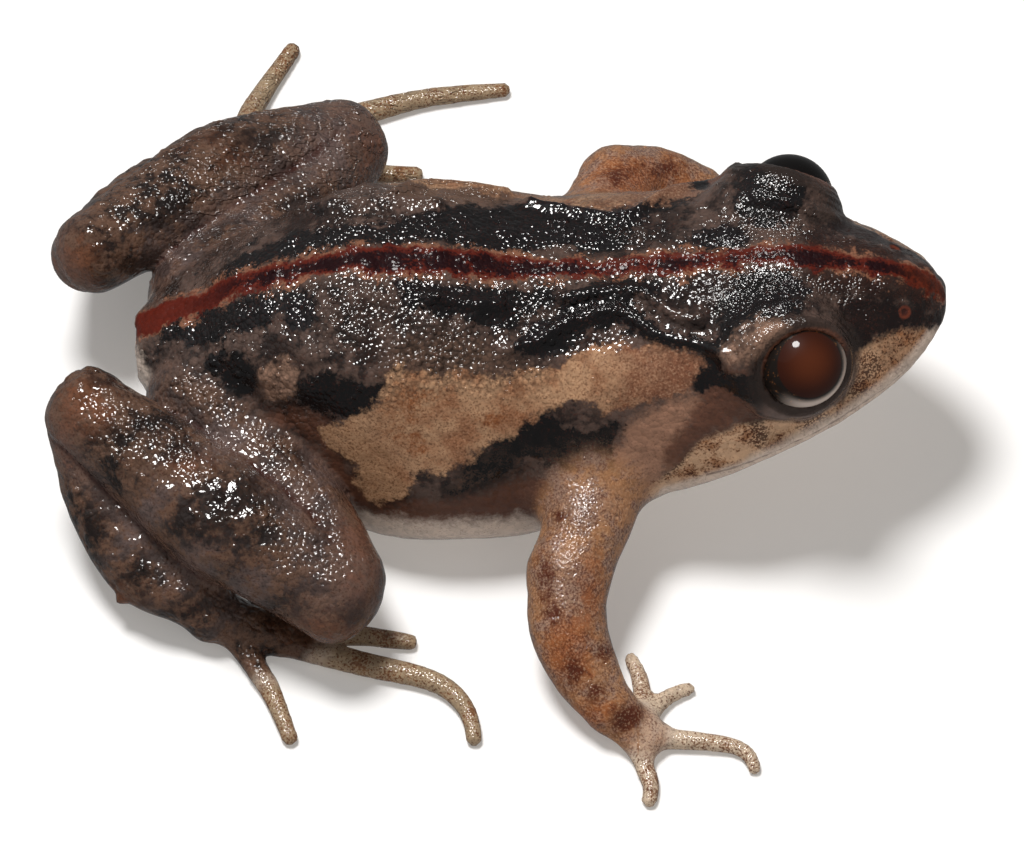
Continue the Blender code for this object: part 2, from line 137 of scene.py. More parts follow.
def lamp(name, power, width, distance, direction, colour):
    """A round lamp that faces the frog."""
    data = bpy.data.lights.new(name, "AREA")
    data.shape = "DISK"
    data.size = width
    data.energy = power
    data.color = colour
    thing = bpy.data.objects.new(name, data)
    bpy.context.scene.collection.objects.link(thing)
    heading = Vector(direction).normalized()
    thing.location = heading * distance
    thing.rotation_euler = heading.to_track_quat("Z", "Y").to_euler()
    thing.visible_glossy = name not in NOT_MIRRORED
    return thing


def make_stage():
    """The pale floor, the surround and the lamps."""
    sheet = bmesh.new()
    bmesh.ops.create_grid(sheet, x_segments=1, y_segments=1, size=FLOOR_WIDTH / 2)
    mesh = bpy.data.meshes.new("floor")
    sheet.to_mesh(mesh)
    sheet.free()
    floor = bpy.data.objects.new("floor", mesh)
    bpy.context.scene.collection.objects.link(floor)
    finish = bpy.data.materials.new("floor_white")
    finish.use_nodes = True
    shader = finish.node_tree.nodes["Principled BSDF"]
    for name, value in FLOOR_FINISH.items():
        shader.inputs[name].default_value = value
    mesh.materials.append(finish)
    floor.visible_glossy = False
    world = bpy.data.worlds.new("surround")
    world.use_nodes = True
    background = world.node_tree.nodes["Background"]
    background.inputs["Color"].default_value = (1, 1, 1, 1)
    background.inputs["Strength"].default_value = SURROUND
    bpy.context.scene.world = world
    bpy.context.scene.view_settings.view_transform = "Standard"
    for name, measures in LAMPS.items():
        lamp(name, *measures)


make_stage()
print("floor and lamps made")

# %% [markdown]
# ## The measures of the body
# The solids were lofted through stations, and the skin follows the same ones, in millimetres,
# with the snout towards +X and the frog's left towards +Y. A body section holds its place along
# the body, the height of the back, then the ridge, flank and lower flank as half width and
# height, and the height of the belly.

# %% Body sections
BODY_SECTIONS = (
    (-6.62, 2.85, 0.50, 2.70, 0.75, 2.20, 0.50, 1.72, 1.55),
    (-6.25, 3.18, 0.85, 2.90, 1.20, 2.10, 0.85, 1.30, 1.05),
    (-5.50, 3.70, 1.18, 3.30, 1.65, 2.10, 1.25, 0.92, 0.60),
    (-4.60, 4.32, 1.48, 3.80, 2.12, 2.00, 1.75, 0.52, 0.15),
    (-3.60, 4.78, 1.80, 4.15, 2.65, 1.85, 2.20, 0.30, -0.04),
    (-2.70, 5.14, 2.02, 4.38, 3.08, 1.75, 2.55, 0.22, -0.06),
    (-1.70, 5.10, 2.15, 4.34, 3.38, 1.70, 2.78, 0.22, -0.06),
    (-0.70, 4.97, 2.18, 4.24, 3.46, 1.68, 2.80, 0.27, -0.04),
    (0.30, 4.78, 2.15, 4.06, 3.36, 1.68, 2.80, 0.28, 0.02),
    (1.30, 4.78, 2.10, 4.05, 3.18, 1.80, 2.62, 0.50, 0.26),
    (2.30, 4.92, 2.06, 4.16, 3.02, 2.00, 2.45, 0.86, 0.66),
    (3.20, 5.02, 2.02, 4.28, 2.99, 2.24, 2.38, 1.26, 1.08),
    (3.90, 5.10, 1.94, 4.40, 3.00, 2.52, 2.36, 1.66, 1.45),
    (4.80, 5.18, 1.76, 4.56, 2.86, 2.84, 2.18, 2.08, 1.88),
    (5.70, 5.18, 1.52, 4.60, 2.56, 3.06, 1.92, 2.40, 2.24),
    (6.50, 5.06, 1.24, 4.52, 2.12, 3.20, 1.58, 2.64, 2.52),
    (7.15, 4.90, 0.98, 4.44, 1.72, 3.36, 1.26, 2.88, 2.78),
    (7.65, 4.70, 0.75, 4.34, 1.30, 3.50, 0.96, 3.08, 3.00),
    (8.02, 4.44, 0.52, 4.22, 0.88, 3.66, 0.64, 3.32, 3.26),
    (8.24, 4.16, 0.30, 4.06, 0.48, 3.78, 0.34, 3.56, 3.53),
)
VENT = (-6.76, 2.15)
SNOUT = (8.34, 3.88)


def smooth_rows(rows, steps, closed=False):
    """Rows of numbers along a Catmull-Rom curve through the given rows."""
    rows = np.array(rows, float)
    count = len(rows)
    t = (np.arange(steps) / steps)[:, None]
    shares = (
        (-t + 2 * t**2 - t**3) / 2,
        (2 - 5 * t**2 + 3 * t**3) / 2,
        (t + 4 * t**2 - 3 * t**3) / 2,
        (t**3 - t**2) / 2,
    )
    made = []
    for span in range(count if closed else count - 1):
        picks = [span + k for k in (-1, 0, 1, 2)]
        if closed:
            picks = [p % count for p in picks]
        else:
            picks = [min(max(p, 0), count - 1) for p in picks]
        made.append(sum(share * rows[p] for share, p in zip(shares, picks)))
    if not closed:
        made.append(rows[-1:])
    return np.vstack(made)


body_rows = smooth_rows(BODY_SECTIONS, 12)
print("body rows:", len(body_rows), "from x", body_rows[0, 0], "to", body_rows[-1, 0])

# %% [markdown]
# ## Arms, legs and digits
# Each limb piece is a row of stations: place along the body, outward from the middle and up,
# then half the width and half the height. The right and left arms lie differently, so each has
# its own. A digit is a path on the floor, and it tapers to its tip.

# %% Limb stations
THIGH = (
    (-5.60, 1.00, 2.15, 1.00, 1.10),
    (-4.45, 2.45, 1.85, 1.08, 1.12),
    (-3.50, 3.80, 1.68, 0.98, 1.02),
    (-2.88, 4.86, 1.62, 0.86, 0.90),
)
SHANK = {
    "right": (
        (-2.90, 5.24, 1.54, 0.87, 0.86),
        (-3.78, 4.52, 1.82, 1.06, 0.98),
        (-5.10, 3.72, 2.18, 1.14, 1.02),
        (-6.52, 2.62, 2.52, 0.93, 0.86),
        (-7.66, 1.74, 2.80, 0.76, 0.74),
    ),
    "left": (
        (-2.86, 4.98, 1.62, 0.82, 0.84),
        (-3.75, 4.48, 1.82, 1.05, 0.98),
        (-5.10, 3.72, 2.18, 1.14, 1.02),
        (-6.50, 2.62, 2.52, 0.92, 0.84),
        (-7.52, 1.74, 2.76, 0.73, 0.72),
    ),
}
TARSUS = (
    (-7.70, 1.88, 2.36, 0.59, 0.57),
    (-7.34, 3.00, 1.48, 0.67, 0.64),
    (-6.60, 4.04, 0.98, 0.74, 0.68),
    (-5.76, 4.51, 0.77, 0.66, 0.60),
    (-5.25, 4.90, 0.50, 0.48, 0.44),
)
TUBERCLE = ((-6.86, 4.56, 0.80, 0.12, 0.12), (-7.00, 4.70, 0.72, 0.10, 0.10))
FOOT = {
    "right": (
        (-5.30, 4.86, 0.42, 0.42, 0.42),
        (-4.50, 5.02, 0.34, 0.44, 0.36),
        (-4.00, 5.12, 0.26, 0.46, 0.28),
    ),
    "left": (
        (-5.30, 4.98, 0.42, 0.46, 0.42),
        (-4.52, 5.38, 0.32, 0.54, 0.34),
        (-4.02, 5.58, 0.24, 0.50, 0.26),
    ),
}
UPPER_ARM = {
    "right": (
        (1.92, 2.40, 1.95, 0.96, 0.92),
        (1.74, 3.50, 1.80, 0.84, 0.80),
        (1.38, 4.60, 1.58, 0.74, 0.72),
    ),
    "left": (
        (1.90, 2.40, 1.95, 0.96, 0.92),
        (2.08, 3.25, 1.85, 0.82, 0.80),
        (2.26, 4.00, 1.66, 0.72, 0.72),
    ),
}
FOREARM = {
    "right": (
        (1.34, 4.60, 1.58, 0.73, 0.71),
        (1.36, 5.60, 1.18, 0.74, 0.68),
        (1.72, 6.42, 0.80, 0.64, 0.56),
        (2.14, 6.98, 0.56, 0.46, 0.42),
    ),
    "left": (
        (2.30, 4.06, 1.64, 0.71, 0.71),
        (3.00, 4.32, 1.26, 0.68, 0.66),
        (3.75, 4.30, 0.84, 0.58, 0.55),
        (4.22, 4.20, 0.56, 0.46, 0.42),
    ),
}
HAND = {
    "right": (
        (2.10, 6.92, 0.44, 0.42, 0.38),
        (2.70, 7.32, 0.27, 0.48, 0.28),
        (2.95, 7.44, 0.20, 0.40, 0.22),
    ),
    "left": (
        (4.12, 4.20, 0.44, 0.42, 0.38),
        (4.70, 4.14, 0.27, 0.48, 0.28),
        (4.98, 4.12, 0.20, 0.40, 0.22),
    ),
}

# %% Digit paths
TOES = {
    "right": (
        ((-4.60, 4.76), (-4.00, 4.34), (-3.50, 4.12), (-3.10, 4.04)),
        ((-4.50, 4.96), (-3.60, 4.62), (-2.90, 4.50), (-2.35, 4.48)),
        ((-4.40, 5.06), (-3.20, 5.08), (-2.30, 5.14), (-1.58, 5.24)),
        ((-4.30, 5.20), (-2.60, 5.72), (-1.38, 6.04), (-0.82, 6.36), (-0.50, 6.84), (-0.40, 7.38)),
        ((-4.86, 5.16), (-4.42, 5.90), (-4.12, 6.50), (-3.82, 7.36)),
    ),
    "left": (
        ((-4.60, 5.02), (-4.00, 4.52), (-3.50, 4.20), (-3.05, 4.04)),
        ((-4.50, 5.26), (-3.60, 4.90), (-2.80, 4.66), (-2.20, 4.58)),
        ((-4.40, 5.46), (-3.20, 5.36), (-2.30, 5.26), (-1.50, 5.26)),
        ((-4.30, 5.60), (-3.00, 6.42), (-2.20, 6.74), (-1.39, 6.98), (-0.50, 7.12), (0.16, 7.20)),
        ((-4.80, 5.34), (-4.74, 6.40), (-4.46, 7.08), (-4.10, 7.74), (-3.88, 8.14)),
    ),
}
FINGERS = {
    "right": (
        ((2.62, 7.10), (2.72, 6.48), (2.66, 5.98), (2.50, 5.58)),
        ((2.62, 7.24), (2.92, 6.74), (3.24, 6.42), (3.60, 6.24)),
        ((2.70, 7.34), (3.50, 7.40), (4.30, 7.50), (4.66, 7.68), (4.80, 8.00)),
        ((2.58, 7.40), (2.76, 8.00), (2.87, 8.36), (2.84, 8.72)),
    ),
    "left": (
        ((4.56, 3.92), (4.92, 3.46), (5.20, 3.28), (5.50, 3.22)),
        ((4.75, 4.04), (5.34, 3.74), (5.74, 3.60), (6.06, 3.54)),
        ((4.80, 4.16), (5.40, 4.22), (5.80, 4.18), (6.10, 4.10)),
        ((4.62, 4.22), (4.92, 4.70), (5.16, 4.92), (5.40, 5.04)),
    ),
}
TOE_RADII = (0.25, 0.15)
FINGER_RADII = (0.20, 0.125)
JOINT_SWELL = 0.012
TIP_SWELL = 0.01
SIDES = {"right": -1.0, "left": 1.0}
print("digits:", sum(len(d) for group in (TOES, FINGERS) for d in group.values()))

# %% [markdown]
# ## A field of distances
# Flesh has no seams, so the pieces can't just be stuck together. Instead a grid of points fills
# the space round the frog, and each point learns how far it is from the skin, less than zero
# inside. Two such fields melt into each other with a soft fillet, and a surface drawn where the
# field is zero is one closed skin. The grid is finer round the head, where the detail is.

# %% The grid
HEAD_FROM_X = 4.1
FINE_STEP = 0.066
COARSE_STEP = 0.088
TRUNK_HALF_WIDTH = 3.3
TRUNK_STEP = 0.076
UP_STEP = 0.080


def lines(*spans):
    """Grid lines through spans of (start, stop, step) laid end to end."""
    parts = [np.arange(start, stop - step / 2, step) for start, stop, step in spans]
    return np.concatenate(parts + [[spans[-1][1]]])


X_LINES = lines((-8.9, HEAD_FROM_X, COARSE_STEP), (HEAD_FROM_X, 8.8, FINE_STEP))
Y_LINES = lines(
    (-9.2, -TRUNK_HALF_WIDTH, COARSE_STEP),
    (-TRUNK_HALF_WIDTH, TRUNK_HALF_WIDTH, TRUNK_STEP),
    (TRUNK_HALF_WIDTH, 8.6, COARSE_STEP),
)
Z_LINES = lines((-0.24, 5.9, UP_STEP))
FAR = 9.0
grid_shape = (len(X_LINES), len(Y_LINES), len(Z_LINES))
field = np.full(grid_shape, FAR)
KINDS = ("hind", "fore", "digit")
kind_shares = {kind: np.zeros(grid_shape, np.float32) for kind in KINDS}
crease_gap = np.full(grid_shape, FAR, np.float32)
print("grid:", grid_shape)

# %% [markdown]
# ## Trunk and head
# Each upright section is turned into its radius at every angle round a middle point. A grid
# point is compared with the radius at its own angle, and the slope of the surface corrects the
# difference into a true distance. The same tables give every point of the back its distance
# from the spine along the skin, which the colours are drawn in later.

# %% Sections by angle
ANGLE_COUNT = 181
section_angles = np.linspace(0, math.pi, ANGLE_COUNT)


def section_by_angle(row):
    """The middle height of a section, and its radius and path from the spine at every angle."""
    back, ridge_w, ridge_z, flank_w, flank_z, low_w, low_z, belly = row
    corners = [(0, back), (ridge_w, ridge_z), (flank_w, flank_z), (low_w, low_z), (0, belly)]
    corners += [(-w, z) for w, z in corners[3:0:-1]]
    outline = smooth_rows(corners, 16, closed=True)[: 16 * 4 + 1]
    middle = flank_z * 0.6 + (back + belly) * 0.2
    angles = np.arctan2(outline[:, 0], outline[:, 1] - middle)
    radii = np.hypot(outline[:, 0], outline[:, 1] - middle)
    steps = np.hypot(*np.diff(outline, axis=0).T)
    path = np.concatenate([[0], np.cumsum(steps)])
    return middle, np.interp(section_angles, angles, radii), np.interp(section_angles, angles, path)


def tables_along(places):
    """Middle heights, radii and spine paths of the sections at many places along the body."""
    first, last = body_rows[0, 0], body_rows[-1, 0]
    middles = []
    radii = []
    paths = []
    for x in places:
        row = [np.interp(x, body_rows[:, 0], body_rows[:, i]) for i in range(1, 9)]
        middle, radius, path = section_by_angle(row)
        if x > last:
            share = min((x - last) / (SNOUT[0] - last), 1)
        else:
            share = min(max((first - x) / (first - VENT[0]), 0), 1)
        shrink = math.sqrt(1 - share**2)
        middles.append(middle)
        radii.append(radius * shrink)
        paths.append(path)
    return np.array(middles), np.array(radii), np.array(paths)


middle_z, section_radii, spine_paths = tables_along(X_LINES)
print("widest section in mm:", round(2 * section_radii.max(), 2))


# %% Trunk field
def trunk_field():
    """Distance of each grid point from the surface of the trunk and head."""
    made = np.empty(grid_shape)
    slope_x = np.gradient(section_radii, X_LINES, axis=0)
    slope_angle = np.gradient(section_radii, section_angles, axis=1)
    y, z = np.meshgrid(Y_LINES, Z_LINES, indexing="ij")
    for i, x in enumerate(X_LINES):
        if x < VENT[0] or x > SNOUT[0]:
            pole_x, pole_z = VENT if x < 0 else SNOUT
            made[i] = np.sqrt((x - pole_x) ** 2 + y**2 + (z - pole_z) ** 2)
            continue
        across = np.hypot(y, z - middle_z[i])
        angle = np.arctan2(np.abs(y), z - middle_z[i])
        radius = np.interp(angle, section_angles, section_radii[i])
        turn = np.interp(angle, section_angles, slope_angle[i]) / np.maximum(radius, 0.3)
        lean = np.clip(np.interp(angle, section_angles, slope_x[i]), -3, 3)
        made[i] = (across - radius) / np.sqrt(1 + turn**2 + lean**2)
    return made


field = trunk_field()
print("trunk volume in mm3:", round(float((field < 0).sum()) * COARSE_STEP * TRUNK_STEP * UP_STEP, 1))

# %% [markdown]
# ## Melting a piece in
# A limb piece is an oval swept along its curve. For each grid point near it, the nearest place on
# the curve is found, and the oval there gives the distance. Where two pieces belong together, as
# at a hip, a wide fillet joins them. Where they only lie against each other, as in a folded leg,
# the fillet is narrow, so a crease stays.

# %% Limb fields
BOX_MARGIN = 0.7
END_REACH = 0.8
COLOUR_FILLET = 0.35


def near_box(low, high):
    """The grid slices that hold a box, with a margin round it."""
    slices = []
    for axis_lines, a, b in zip((X_LINES, Y_LINES, Z_LINES), low, high):
        start = np.searchsorted(axis_lines, a - BOX_MARGIN)
        stop = np.searchsorted(axis_lines, b + BOX_MARGIN)
        slices.append(slice(max(start - 1, 0), stop + 1))
    return tuple(slices)


def grid_points(box):
    """The places of the grid points in a box of the grid."""
    axes = (X_LINES[box[0]], Y_LINES[box[1]], Z_LINES[box[2]])
    return np.stack(np.meshgrid(*axes, indexing="ij"), -1)


def swept_distance(points, rows):
    """Distance of each point from an oval swept along rows of (x, y, z, half width, half height)."""
    flat = points.reshape(-1, 3)
    nearest = np.full(len(flat), np.inf)
    place = np.zeros(len(flat))
    centres = rows[:, :3]
    for i, (start, stop) in enumerate(zip(centres, centres[1:])):
        run = stop - start
        share = np.clip((flat - start) @ run / (run @ run), 0, 1)
        gap = ((flat - start - share[:, None] * run) ** 2).sum(1)
        closer = gap < nearest
        nearest[closer] = gap[closer]
        place[closer] = i + share[closer]
    index = np.arange(len(rows))
    centre, size = [np.stack([np.interp(place, index, rows[:, c]) for c in columns], 1)
                    for columns in ((0, 1, 2), (3, 4))]
    headings = np.gradient(centres, axis=0)
    headings /= np.linalg.norm(headings, axis=1)[:, None]
    along = np.stack([np.interp(place, index, headings[:, c]) for c in range(3)], 1)
    along /= np.linalg.norm(along, axis=1)[:, None]
    across = np.cross(along, (0, 0, 1))
    across /= np.linalg.norm(across, axis=1)[:, None]
    up = np.cross(across, along)
    offset = flat - centre
    reach = size.min(1) * END_REACH
    parts = np.stack([(offset * across).sum(1), (offset * up).sum(1), (offset * along).sum(1)], 1)
    scaled = parts / np.stack([size[:, 0], size[:, 1], reach], 1)
    value = np.sqrt((scaled**2).sum(1)) + 1e-9
    slope = np.sqrt(((scaled / np.stack([size[:, 0], size[:, 1], reach], 1)) ** 2).sum(1)) / value
    return ((value - 1) / np.maximum(slope, 0.4)).reshape(points.shape[:-1])


def melted(old, new, fillet):
    """The smaller of two fields, with a soft fillet where they cross."""
    share = np.clip(0.5 + 0.5 * (old - new) / fillet, 0, 1)
    return old * (1 - share) + new * share - fillet * share * (1 - share)


def melt_in(box, distance, fillet, kind=None):
    """Joins a piece's field to the frog's field with a soft fillet, and notes its kind."""
    old = field[box]
    tint = np.clip(0.5 + 0.5 * (old - distance) / np.maximum(fillet, COLOUR_FILLET), 0, 1)
    field[box] = melted(old, distance, fillet)
    for name, shares in kind_shares.items():
        shares[box] = shares[box] * (1 - tint) + (tint if name == kind else 0)


def add_limb(stations, side, fillet, kind, joint=None, crease=None):
    """Melts one limb piece in. Away from its joint, its fillet narrows to a crease."""
    rows = smooth_rows(stations, 8)
    rows[:, 1] *= side
    box = near_box(rows[:, :3].min(0) - 1.0, rows[:, :3].max(0) + 1.0)
    points = grid_points(box)
    if joint is not None:
        gap = np.linalg.norm(points - np.array(joint[:3]) * (1, side, 1), axis=-1)
        fillet = crease + (fillet - crease) * np.exp(-((gap / joint[3]) ** 2))
    distance = swept_distance(points, rows)
    if crease is not None:
        apart = np.abs(field[box] - distance) + fillet - crease
        apart += 3 * np.maximum(np.minimum(field[box], distance) - 0.3 * fillet, 0)
        crease_gap[box] = np.minimum(crease_gap[box], apart)
    melt_in(box, distance, fillet, kind)


# %% Digit fields
FLOOR_SINK = 0.03
DIGIT_FILLET = 0.20


def digit_stations(path, radii):
    """Stations of a digit that tapers along its path, swollen a little at joints and tip."""
    last = len(path) - 1
    rows = []
    for i, (x, y) in enumerate(path):
        radius = radii[0] + (radii[1] - radii[0]) * (i / last) ** 0.8
        swell = TIP_SWELL if i == last else JOINT_SWELL * (i > 0)
        half = radius + swell
        rows.append((x, y, half * 0.92 - FLOOR_SINK, half, half * 0.92))
    return rows


# Each joint is a place, and how far its wide fillet reaches.
HIP = (-4.9, 1.9, 2.1, 1.3)
KNEE = (-2.9, 4.9, 1.6, 0.8)
HEEL = (-7.6, 1.8, 2.55, 0.7)
THIGH_CREASE = 0.16
SHANK_CREASE = 0.20
TARSUS_CREASE = 0.55
for name, side in SIDES.items():
    add_limb(THIGH, side, 0.7, "hind", HIP, THIGH_CREASE)
    add_limb(SHANK[name], side, 0.5, "hind", KNEE, SHANK_CREASE)
    add_limb(TARSUS, side, 0.7, "hind", HEEL, TARSUS_CREASE)
    add_limb(TUBERCLE, side, 0.10, "hind")
    add_limb(FOOT[name], side, 0.30, "hind")
    add_limb(UPPER_ARM[name], side, 0.55, "fore")
    add_limb(FOREARM[name], side, 0.30, "fore")
    add_limb(HAND[name], side, 0.25, "fore")
    for path in TOES[name]:
        add_limb(digit_stations(path, TOE_RADII), side, DIGIT_FILLET, "digit")
    for path in FINGERS[name]:
        add_limb(digit_stations(path, FINGER_RADII), side, DIGIT_FILLET, "digit")
print("volume with limbs in voxels:", int((field < 0).sum()))

# %% [markdown]
# ## Eyelids, eye openings and nostrils
# The eyes bulge above the head, so a ball melts into the skull for each, with a smaller one
# behind it that eases down to the neck. A plane then cuts the ball open where the eye looks
# out, with a rounded rim, and the eyeball's own hollow is taken out behind it. A small ball taken
# out of the snout on each side makes a nostril.

# %% Head details
EYE_RADIUS = 0.84
EYE_CENTRE = (5.56, 1.82, 4.42)
LID_RADIUS = 1.06
LID_CENTRE = (5.44, 1.70, 4.34)
LID_REAR_RADIUS = {-1.0: 0.88, 1.0: 0.74}
LID_REAR_CENTRE = (4.80, 1.60, 4.30)
LID_REAR_FILLET = 0.50
LID_FILLET = 0.35
RIM_FILLET = 0.10
OPENING_FROM = {-1.0: 0.30, 1.0: 0.43}
OPENING_REACH = 1.35
HOLLOW_GAP = 0.03
GAZE_UP_DEG = {-1.0: 28.0, 1.0: 22.0}
GAZE_FORWARD_DEG = 16.0
HEAD_TURN = 0.1
NOSTRIL_CENTRE = (7.54, 0.72, 4.46)
NOSTRIL_RADIUS = 0.10
NOSTRIL_FILLET = 0.08
NOSTRIL_FLOOR = (7.50, 0.69, 4.39)


def on_side(point, side):
    """A head point for one side. The head is turned a little, so the right eye is further ahead."""
    x, y, z = point
    return np.array((x - side * HEAD_TURN, side * y, z))


def gaze(side, up_deg=None, forward_deg=GAZE_FORWARD_DEG):
    """The direction that an eye's opening faces, or a pupil with angles of its own."""
    up = math.radians(GAZE_UP_DEG[side] if up_deg is None else up_deg)
    forward = math.radians(forward_deg)
    level = math.cos(up)
    return np.array((math.sin(forward) * level, side * math.cos(forward) * level, math.sin(up)))


def cut_away(box, tool, fillet):
    """Takes a tool's field out of the frog's field, leaving a rounded edge."""
    field[box] = -melted(-field[box], tool, fillet)


def add_eye_surround(side):
    """Adds one side's lids and opens its eye and its nostril."""
    eye = on_side(EYE_CENTRE, side)
    box = near_box(eye - 1.9, eye + 1.5)
    points = grid_points(box)
    balls = (
        (LID_REAR_CENTRE, LID_REAR_RADIUS[side], LID_REAR_FILLET),
        (LID_CENTRE, LID_RADIUS, LID_FILLET),
    )
    for centre, radius, fillet in balls:
        ball = np.linalg.norm(points - on_side(centre, side), axis=-1) - radius
        melt_in(box, ball, fillet)
    offset = points - eye
    ahead = offset @ gaze(side)
    from_eye = np.linalg.norm(offset, axis=-1)
    opening = np.maximum(OPENING_FROM[side] - ahead, from_eye - OPENING_REACH)
    cut_away(box, opening, RIM_FILLET)
    cut_away(box, from_eye - (EYE_RADIUS - HOLLOW_GAP), RIM_FILLET / 2)
    nostril = on_side(NOSTRIL_CENTRE, side)
    box = near_box(nostril, nostril)
    pit = np.linalg.norm(grid_points(box) - nostril, axis=-1) - NOSTRIL_RADIUS
    cut_away(box, pit, NOSTRIL_FILLET)


for side in SIDES.values():
    add_eye_surround(side)
field = np.maximum(field, -Z_LINES[None, None, :])
print("inside voxels:", int((field < 0).sum()))

# %% [markdown]
# ## Drawing the skin
# Wherever the field changes sign inside a grid cell, one point goes to the middle of the
# crossings on that cell's edges. Each grid edge that is crossed gives one four-sided face
# between its four cells. The result is one closed, evenly meshed skin.


# %% Surface from field
CORNERS = list(product((0, 1), repeat=3))


def surface_points(values):
    """The points of the zero surface, and the table from cell to point."""
    inside = values < 0
    cells = tuple(n - 1 for n in values.shape)
    filled = np.zeros(cells, np.int8)
    for i, j, k in CORNERS:
        filled += inside[i : i + cells[0], j : j + cells[1], k : k + cells[2]]
    cell_index = np.nonzero((filled > 0) & (filled < 8))
    table = np.full(cells, -1, np.int64)
    table[cell_index] = np.arange(len(cell_index[0]))
    total = np.zeros((len(cell_index[0]), 3))
    hits = np.zeros(len(cell_index[0]))
    axis_lines = (X_LINES, Y_LINES, Z_LINES)
    for axis in range(3):
        for corner in CORNERS:
            if corner[axis]:
                continue
            start = [c + d for c, d in zip(cell_index, corner)]
            stop = list(start)
            stop[axis] = stop[axis] + 1
            a = values[tuple(start)]
            b = values[tuple(stop)]
            crossed = (a < 0) != (b < 0)
            share = np.where(crossed, a / np.where(crossed, a - b, 1), 0)
            for c in range(3):
                low = axis_lines[c][start[c]]
                high = axis_lines[c][stop[c]]
                total[:, c] += np.where(crossed, low + share * (high - low), 0)
            hits += crossed
    return total / hits[:, None], table


def surface_faces(values, table):
    """Four-sided faces of the zero surface, each wound so that its normal points outwards."""
    inside = values < 0
    faces = []
    for axis in range(3):
        near, far = [(axis + k) % 3 for k in (1, 2)]
        order = (axis, near, far)
        turned = np.transpose(inside, order)
        cell_table = np.transpose(table, order)
        crossed = turned[:-1, 1:-1, 1:-1] != turned[1:, 1:-1, 1:-1]
        i, j, k = np.nonzero(crossed)
        quad = np.stack([cell_table[i, j + a, k + b] for a, b in ((0, 0), (1, 0), (1, 1), (0, 1))], 1)
        leaving = turned[:-1, 1:-1, 1:-1][i, j, k]
        faces.append(np.where(leaving[:, None], quad, quad[:, ::-1]))
    return np.vstack(faces)


# %% Reading a grid at any point
def corner_weight(corner, shares):
    """How much a cell's corner counts at points that lie at these shares of the cell."""
    weight = 1.0
    for bit, share in zip(corner, shares):
        weight = weight * (share if bit else 1 - share)
    return weight


def sample(values, points):
    """A grid's values at points, mixed from the eight grid corners round each."""
    starts = []
    shares = []
    for c, axis_lines in enumerate((X_LINES, Y_LINES, Z_LINES)):
        start = np.clip(np.searchsorted(axis_lines, points[:, c]) - 1, 0, len(axis_lines) - 2)
        starts.append(start)
        shares.append((points[:, c] - axis_lines[start]) / (axis_lines[start + 1] - axis_lines[start]))
    total = np.zeros(len(points))
    for corner in CORNERS:
        held = values[tuple(start + bit for start, bit in zip(starts, corner))]
        total += corner_weight(corner, shares) * held
    return total


points, cell_table = surface_points(field)
faces = surface_faces(field, cell_table)
print("skin points:", len(points), "faces:", len(faces))


# %% Largest closed surface
def largest_piece(points, faces):
    """Keeps the largest connected surface and drops loose crumbs."""
    label = np.arange(len(points))
    while True:
        lowest = label[faces].min(1)
        new = label.copy()
        np.minimum.at(new, faces.ravel(), np.repeat(lowest, 4))
        new = new[new]
        if (new == label).all():
            break
        label = new
    names, counts = np.unique(label, return_counts=True)
    kept = label == names[counts.argmax()]
    renumber = np.cumsum(kept) - 1
    return points[kept], renumber[faces[kept[faces].all(1)]]


points, faces = largest_piece(points, faces)
# Each step of easing is followed by a step back that is a little longer, so nothing shrinks.
EASING = (0.5, -0.52, 0.5, -0.52)
edges = np.vstack([faces[:, [0, 1]], faces[:, [1, 2]], faces[:, [2, 3]], faces[:, [3, 0]]])
neighbours = np.bincount(edges.ravel(), minlength=len(points))
print("kept points:", len(points), "triangles:", 2 * len(faces))


def eased(points, strength):
    """Moves each point part of the way to the middle of its neighbours."""
    total = np.zeros_like(points)
    for c in range(3):
        total[:, c] = np.bincount(edges[:, 0], points[edges[:, 1], c], len(points))
        total[:, c] += np.bincount(edges[:, 1], points[edges[:, 0], c], len(points))
    return points + strength * (total / neighbours[:, None] - points)


def point_normals(points):
    """The outward direction of the surface at each point."""
    a, b, c, d = [points[faces[:, i]] for i in range(4)]
    face_normals = np.cross(c - a, d - b)
    total = np.zeros_like(points)
    for i in range(4):
        for axis in range(3):
            total[:, axis] += np.bincount(faces[:, i], face_normals[:, axis], len(points))
    return total / np.maximum(np.linalg.norm(total, axis=1), 1e-12)[:, None]


for strength in EASING:
    points = eased(points, strength)
base_points = points.copy()
normals = point_normals(points)

# %% [markdown]
# ## Where each point lies on the back
# The colours and folds of the trunk are drawn in two measures: the place along the body, and the
# distance from the spine round the skin, more than zero on the frog's right. A mark that was
# seen at a pixel is carried to those measures, and the unseen side mirrors it. Nothing on a skin
# starts at a hard line, so four short functions turn a limit into a soft one.


# %% Soft limits
def rising(values, start, width):
    """0 up to the start, and 1 from one width after it."""
    return np.clip((values - start) / width, 0, 1)


def falling(values, stop, width):
    """1 up to one width before the stop, and 0 from there on."""
    return np.clip((stop - values) / width, 0, 1)


def within(gap, blur):
    """1 inside an outline and 0 outside it, when the gap is less than zero inside."""
    return np.clip(0.5 - gap / blur, 0, 1)


def bell(values, half_width):
    """1 where the values are zero, and softly down to 0 on both sides."""
    return np.exp(-((values / half_width) ** 2))


